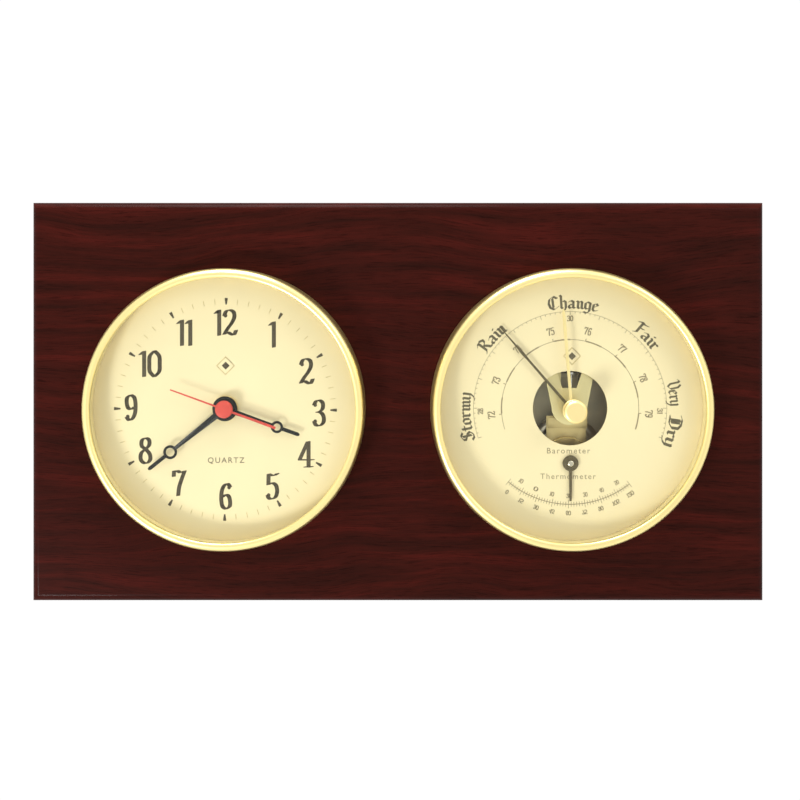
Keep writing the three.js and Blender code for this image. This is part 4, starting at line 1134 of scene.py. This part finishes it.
def make_barometer_works():
    body = "barometer_insert"
    for node, finish, node_body, width, segments in (
        ("bridge_plate", BRIDGE_BRASS, body, 0.22, 3),
        ("lower_bridge", BRIDGE_BRASS, body, 0.12, 2),
        ("base_plate", PLATED_STEEL, body, 0.15, 2),
        ("spring_block", SPRING_BRASS, body, 0.2, 2),
        ("rocker_frame", PLATED_STEEL, body, 0.15, 2),
        ("thermometer_bracket", DARK_STEEL, body, 0.1, 2),
        ("thermometer_coil", DULL_BRASS, body, 0.06, 1),
        ("hairspring", BLUE_STEEL, body, 0.04, 1),
        ("pointer_arbor", BRIGHT_STEEL, "pressure_hand", 0.05, 2),
        ("rocker", BRIGHT_STEEL, "rocker", 0.1, 2),
        ("main_lever", SPRING_BRASS, "main_lever", 0.12, 2),
        ("link", BRIGHT_STEEL, "main_lever", 0.05, 2),
    ):
        refined(node, finish, node_body, width, segments)

    # the leaf spring and the chain ride on no body, with their places baked into their points
    spring = refined("leaf_spring", SPRING_BRASS, None, 0.12)
    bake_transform(spring)
    chain = refined("chain", BRIGHT_STEEL, None, 0.06)
    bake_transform(chain)

    for side in ("left", "right"):
        node = f"bridge_post_{side}"
        back, front = depths_of(node)
        turned(node, f"{node}_fine", BRIGHT_STEEL, body, [
            (0, back), (2.2, back), (2.2, front - 3.2), (1.9, front - 3), (1.9, front - 2.4),
            (2.2, front - 2.2), (2.2, front), (0, front),
        ], centre_of(node), PIN, 0.08)

    back, face, edge = 5.3, 10.3, 15.5
    ripple = [(edge - 0.62 * k, 0.2 * math.sin(k * math.tau / 5)) for k in range(2, 20)]
    front_side = [(r, face - 0.45 - s) for r, s in ripple]
    back_side = [(r, back + 0.45 + s) for r, s in reversed(ripple)]
    turned("aneroid_capsule", "aneroid_capsule_fine", SILVERED, body, [
        (0, 5), (1.45, 5), (1.45, 3.9), (3, 3.9), (3, back), *back_side, (edge, back + 1.7),
        (edge, face - 1.7), *front_side, (3, face), (1.2, face + 0.4), (1.2, 12.5), (2.4, 12.5), (2.4, 13.1),
        (0, 13.1),
    ], centre_of("aneroid_capsule"), 96, smooth=45)

    screw = centre_of("adjusting_screw")
    back, front = depths_of("adjusting_screw")
    shape = [(0, back), (2.2, back), (2.2, back + 1), (1.3, back + 1), (1.3, front), (0, front)]
    bm = solid((turn, shape, screw, 40, 0.12),
               cuts=[(slab, slot_across(screw, 3, 0.35), back - 1, back + 0.5)])
    stand_in(bm, "adjusting_screw", DULL_BRASS, "adjusting_screw")


# ---- camera, light and floor

def make_stage():
    """The camera stands level with the upper part of the board, and its lens is shifted down to frame it."""
    scene = bpy.context.scene
    reach, eye_height = 360, 43
    sight = bpy.data.cameras.new("camera")
    sight.lens = 42.6
    sight.sensor_width = 36
    width_seen = (reach + 3.5) * sight.sensor_width / sight.lens
    sight.shift_x = 0.8 / width_seen
    sight.shift_y = (0.5 - eye_height) / width_seen
    camera = bpy.data.objects.new("camera", sight)
    scene.collection.objects.link(camera)
    camera.location = Vector((0, -(BOARD_FRONT + reach), eye_height)) * MM
    camera.rotation_euler = (math.radians(90), 0, 0)
    scene.camera = camera

    for name, place, size, power, tint in (
        ("upper_right", (640, -560, 560), 420, 1.8, (1.0, 0.98, 0.96)),
        ("lower_left", (-640, -680, -620), 280, 7.0, (1.0, 1.0, 1.0)),
        ("top", (-120, -110, 820), 500, 7.5, (1.0, 0.98, 0.96)),
    ):
        lamp = bpy.data.lights.new(name, "AREA")
        lamp.shape = "DISK"
        lamp.size = size * MM
        lamp.energy = power
        lamp.color = tint
        light = bpy.data.objects.new(name, lamp)
        scene.collection.objects.link(light)
        light.location = Vector(place) * MM
        light.rotation_euler = (-light.location).to_track_quat("-Z", "Y").to_euler()

    floor_mesh = bmesh.new()
    bmesh.ops.create_circle(floor_mesh, cap_ends=True, segments=96, radius=2.2)
    bmesh.ops.translate(floor_mesh, verts=floor_mesh.verts, vec=(0, 0, -1.5))
    floor = link_mesh("floor", floor_mesh)
    floor_mesh.free()
    paper = Finish("floor_paper", "", (0.92, 0.92, 0.92), 0.7)
    floor.data.materials.append(paper.material)

    world = bpy.data.worlds.new("studio")
    world.use_nodes = True
    scene.world = world
    tree = world.node_tree
    where, parts, front, shade = (tree.nodes.new(f"ShaderNode{kind}")
                                  for kind in ("TexCoord", "SeparateXYZ", "Math", "ValToRGB"))
    front.operation = "MULTIPLY"
    front.inputs[1].default_value = -1
    shade.color_ramp.interpolation = "EASE"
    side, front_end = shade.color_ramp.elements
    front_end.position, front_end.color = 0.92, (0.8, 0.8, 0.8, 1)
    side.position, side.color = 0.78, (0.94, 0.94, 0.94, 1)
    sky = tree.nodes["Background"]
    for source, target in (
        (where.outputs["Generated"], parts.inputs[0]),
        (parts.outputs["Y"], front.inputs[0]),
        (front.outputs[0], shade.inputs[0]),
        (shade.outputs[0], sky.inputs["Color"]),
    ):
        tree.links.new(source, target)
    sky.inputs["Strength"].default_value = 1.1
    scene.view_settings.view_transform = "Standard"


make_stage()
make_board()
make_hanger()
for insert, middle in (("clock", CLOCK), ("barometer", BAROMETER)):
    make_shells(insert, middle, f"{insert}_insert")
    make_case(insert, middle, f"{insert}_insert")
make_clock_dial()
make_barometer_dial()
make_clock_hand("hour_hand", "hour_work", 109.3, 4.7, 29.8, 20.8, 2.3, 2.6, 0.95)
make_clock_hand("minute_hand", "minute_work", 231.5, 4.2, 36.5, 26, 2.6, 1.55, 1.25)
make_second_hand()
make_pressure_hand()
make_set_hand()
make_thermometer()
make_clock_works()
make_barometer_works()
